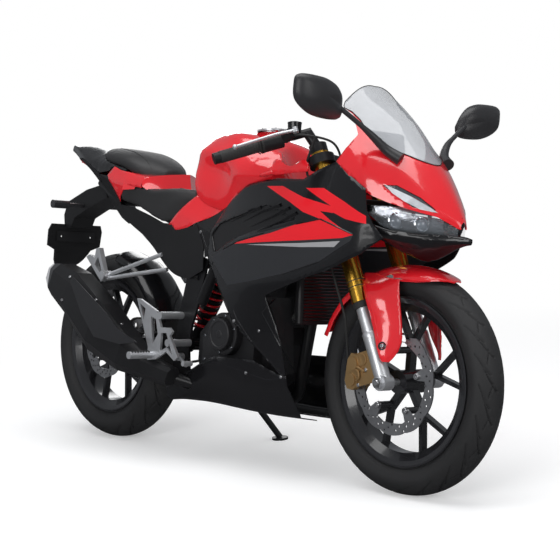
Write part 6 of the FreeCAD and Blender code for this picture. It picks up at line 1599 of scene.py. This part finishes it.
# %%
PEGS = surface_of("footrests")
PEG_OUTSIDE, PEG_START, PEG_PITCH, PEG_RIBS = 236, 216, 10, 7
PEDAL_ARM = [(520, -152, 306), (566, -168, 292), (612, -196, 288), (640, -214, 296)]
SHIFT_ARM = [(520, 150, 306), (572, 160, 290), (620, 178, 284), (650, 196, 292)]
BRAKE_LINE = [(430, -120, 380), (330, -122, 366), (180, -121, 364), (60, -118, 372), (-10, -104, 402),
              (-46, -90, 408)]
RIB_ARCH = (Vector((-9, 0, -1.5)), Vector((0, 0, 0.8)), Vector((9, 0, -1.5)))


def pin(centre, side, half, radius, count):
    """A short round pin across the machine."""
    return lathe(centre, (0, side, 0), [(-half, 0.1), (-half, radius), (half, radius), (half, 0.1)], count)


strips = []
for side in (-1, 1):
    tips = [p for p in points_of("footrests") if side * p.y > PEG_OUTSIDE]
    middle = sum(tips, Vector()) / len(tips)
    for number in range(PEG_RIBS):
        hit = met(PEGS, (middle.x, side * (PEG_START + PEG_PITCH * number), middle.z + 60), (0, 0, -1))
        if hit and abs(hit[0].z - middle.z) < 25:
            strips.append(tube([hit[0] + offset for offset in RIB_ARCH], 2.4, 8))
pedal = [tube(curve(PEDAL_ARM, 6), 5.4, 12), pin((640, -214, 296), -1, 16, 7.5, 20),
         pin((520, -146, 306), -1, 8, 12, 24)]
shifter = [tube(curve(SHIFT_ARM, 6), 5.0, 12), pin((650, 206, 292), 1, 18, 8, 20),
           tube([(600, 128, 300), (652, 108, 318)], 3.6, 10), pin((520, 144, 306), 1, 8, 12, 24)]
put("footrest_ribs", strips, "rubber", "rubber", smooth=40)
put("brake_pedal", pedal, "silver", "silver", smooth=40)
put("shift_pedal", shifter, "silver", "silver", smooth=40)
put("rear_brake_line", [tube(curve(BRAKE_LINE, 8), 3.1, 10)], "rubber", "rubber", smooth=60)
print("footrest ribs", len(strips))

# %% [markdown]
# The side stand's spring runs along its leg, and turns with it.

# %%
STAND_HEAD = 205
stand = points_of("side_stand")
head = [p for p in stand if p.z > STAND_HEAD]
head_middle = sum(head, Vector()) / len(head)
shin_middle = head_middle.lerp(min(stand, key=lambda p: p.z), 0.42)
run = head_middle - shin_middle
coil = helix(shin_middle + frame_of(run)[0] * 13, run, first=0.12, share=0.62, turns=16, reach=5.2, steps=160)
put("stand_spring", [tube(coil, 1.2, 6)], "chain_steel", "steel", "stand", 60)
print("stand spring from", [round(v) for v in coil[0]], "to", [round(v) for v in coil[-1]])

# %% [markdown]
# Soft studio light: a wide panel overhead, one at each side and a bright room. The camera sees plain white.
# %%
PANELS = {
    # place and target in metres, size in metres, power in watts
    "top_panel": ((0.3, -0.4, 3.6), (0, 0, 0.5), (4.0, 2.6), 88),
    "right_panel": ((1.6, -4.0, 1.7), (0, 0, 0.6), (2.4, 1.4), 46),
    "front_panel": ((4.2, -0.4, 1.6), (0, 0, 0.6), (1.6, 2.0), 24),
    "back_panel": ((-3.4, 2.4, 2.0), (0, 0, 0.6), (2.4, 1.6), 34),
}


def panel_light(name, spot, target, size, power):
    lamp = bpy.data.lights.new(name, "AREA")
    lamp.shape = "RECTANGLE"
    lamp.size, lamp.size_y = size
    lamp.energy = power
    made = bpy.data.objects.new(name, lamp)
    scene.collection.objects.link(made)
    made.location = spot
    made.rotation_euler = (Vector(target) - Vector(spot)).to_track_quat("-Z", "Y").to_euler()


for name, settings in PANELS.items():
    panel_light(name, *settings)

world = bpy.data.worlds.new("room")
scene.world = world
world.use_nodes = True
room = Tree(world.node_tree)
path = room.tree.nodes.new("ShaderNodeLightPath")
seen = room.math("MAXIMUM", path.outputs["Is Camera Ray"], path.outputs["Is Transmission Ray"])
lit = room.add("ShaderNodeBackground", {"Color": (0.88, 0.90, 0.94, 1), "Strength": 0.38})
dim = room.add("ShaderNodeBackground", {"Color": (0.80, 0.83, 0.88, 1), "Strength": 0.30})
white = room.add("ShaderNodeBackground", {"Color": (1, 1, 1, 1), "Strength": 1.0})
around = room.add("ShaderNodeMixShader", {0: path.outputs["Is Glossy Ray"], 1: lit, 2: dim})
room.add("ShaderNodeOutputWorld", {0: room.add("ShaderNodeMixShader", {0: seen, 1: around, 2: white})})

# %% [markdown]
# A pale floor that fades into white away from the machine, and is dark to reflections.
# %%
FLOOR_SIZE = 40
FADE_START, FADE_END = 1.2, 3.4
bpy.ops.mesh.primitive_plane_add(size=FLOOR_SIZE)
floor = bpy.context.object
floor.name = "floor"
floor_look = bpy.data.materials.new("pale_floor")
floor_look.use_nodes = True
ground = Tree(floor_look.node_tree)
path = ground.tree.nodes.new("ShaderNodeLightPath")
away = ground.add("ShaderNodeVectorMath", {0: ground.own()}, out=1, operation="LENGTH")
speck = ground.ramp(ground.noise(ground.own(), 60.0), 0.3, 0.7, 0.80, 0.84)
near = ground.add("ShaderNodeBsdfDiffuse", {"Color": speck, "Roughness": 0.5})
glow = ground.add("ShaderNodeEmission", {"Color": (1, 1, 1, 1), "Strength": 0.30})
both = ground.add("ShaderNodeAddShader", {0: near, 1: glow})
far = ground.add("ShaderNodeEmission", {"Color": (1, 1, 1, 1), "Strength": 1.0})
shown = ground.add("ShaderNodeMixShader", {0: ground.ramp(away, FADE_START, FADE_END), 1: both, 2: far})
dark = ground.add("ShaderNodeBsdfDiffuse", {"Color": (0.10, 0.10, 0.105, 1)})
mixed = ground.add("ShaderNodeMixShader", {0: path.outputs["Is Glossy Ray"], 1: shown, 2: dark})
ground.add("ShaderNodeOutputMaterial", {0: mixed})
floor.data.materials.append(floor_look)
print("floor fades from", FADE_START, "to", FADE_END)
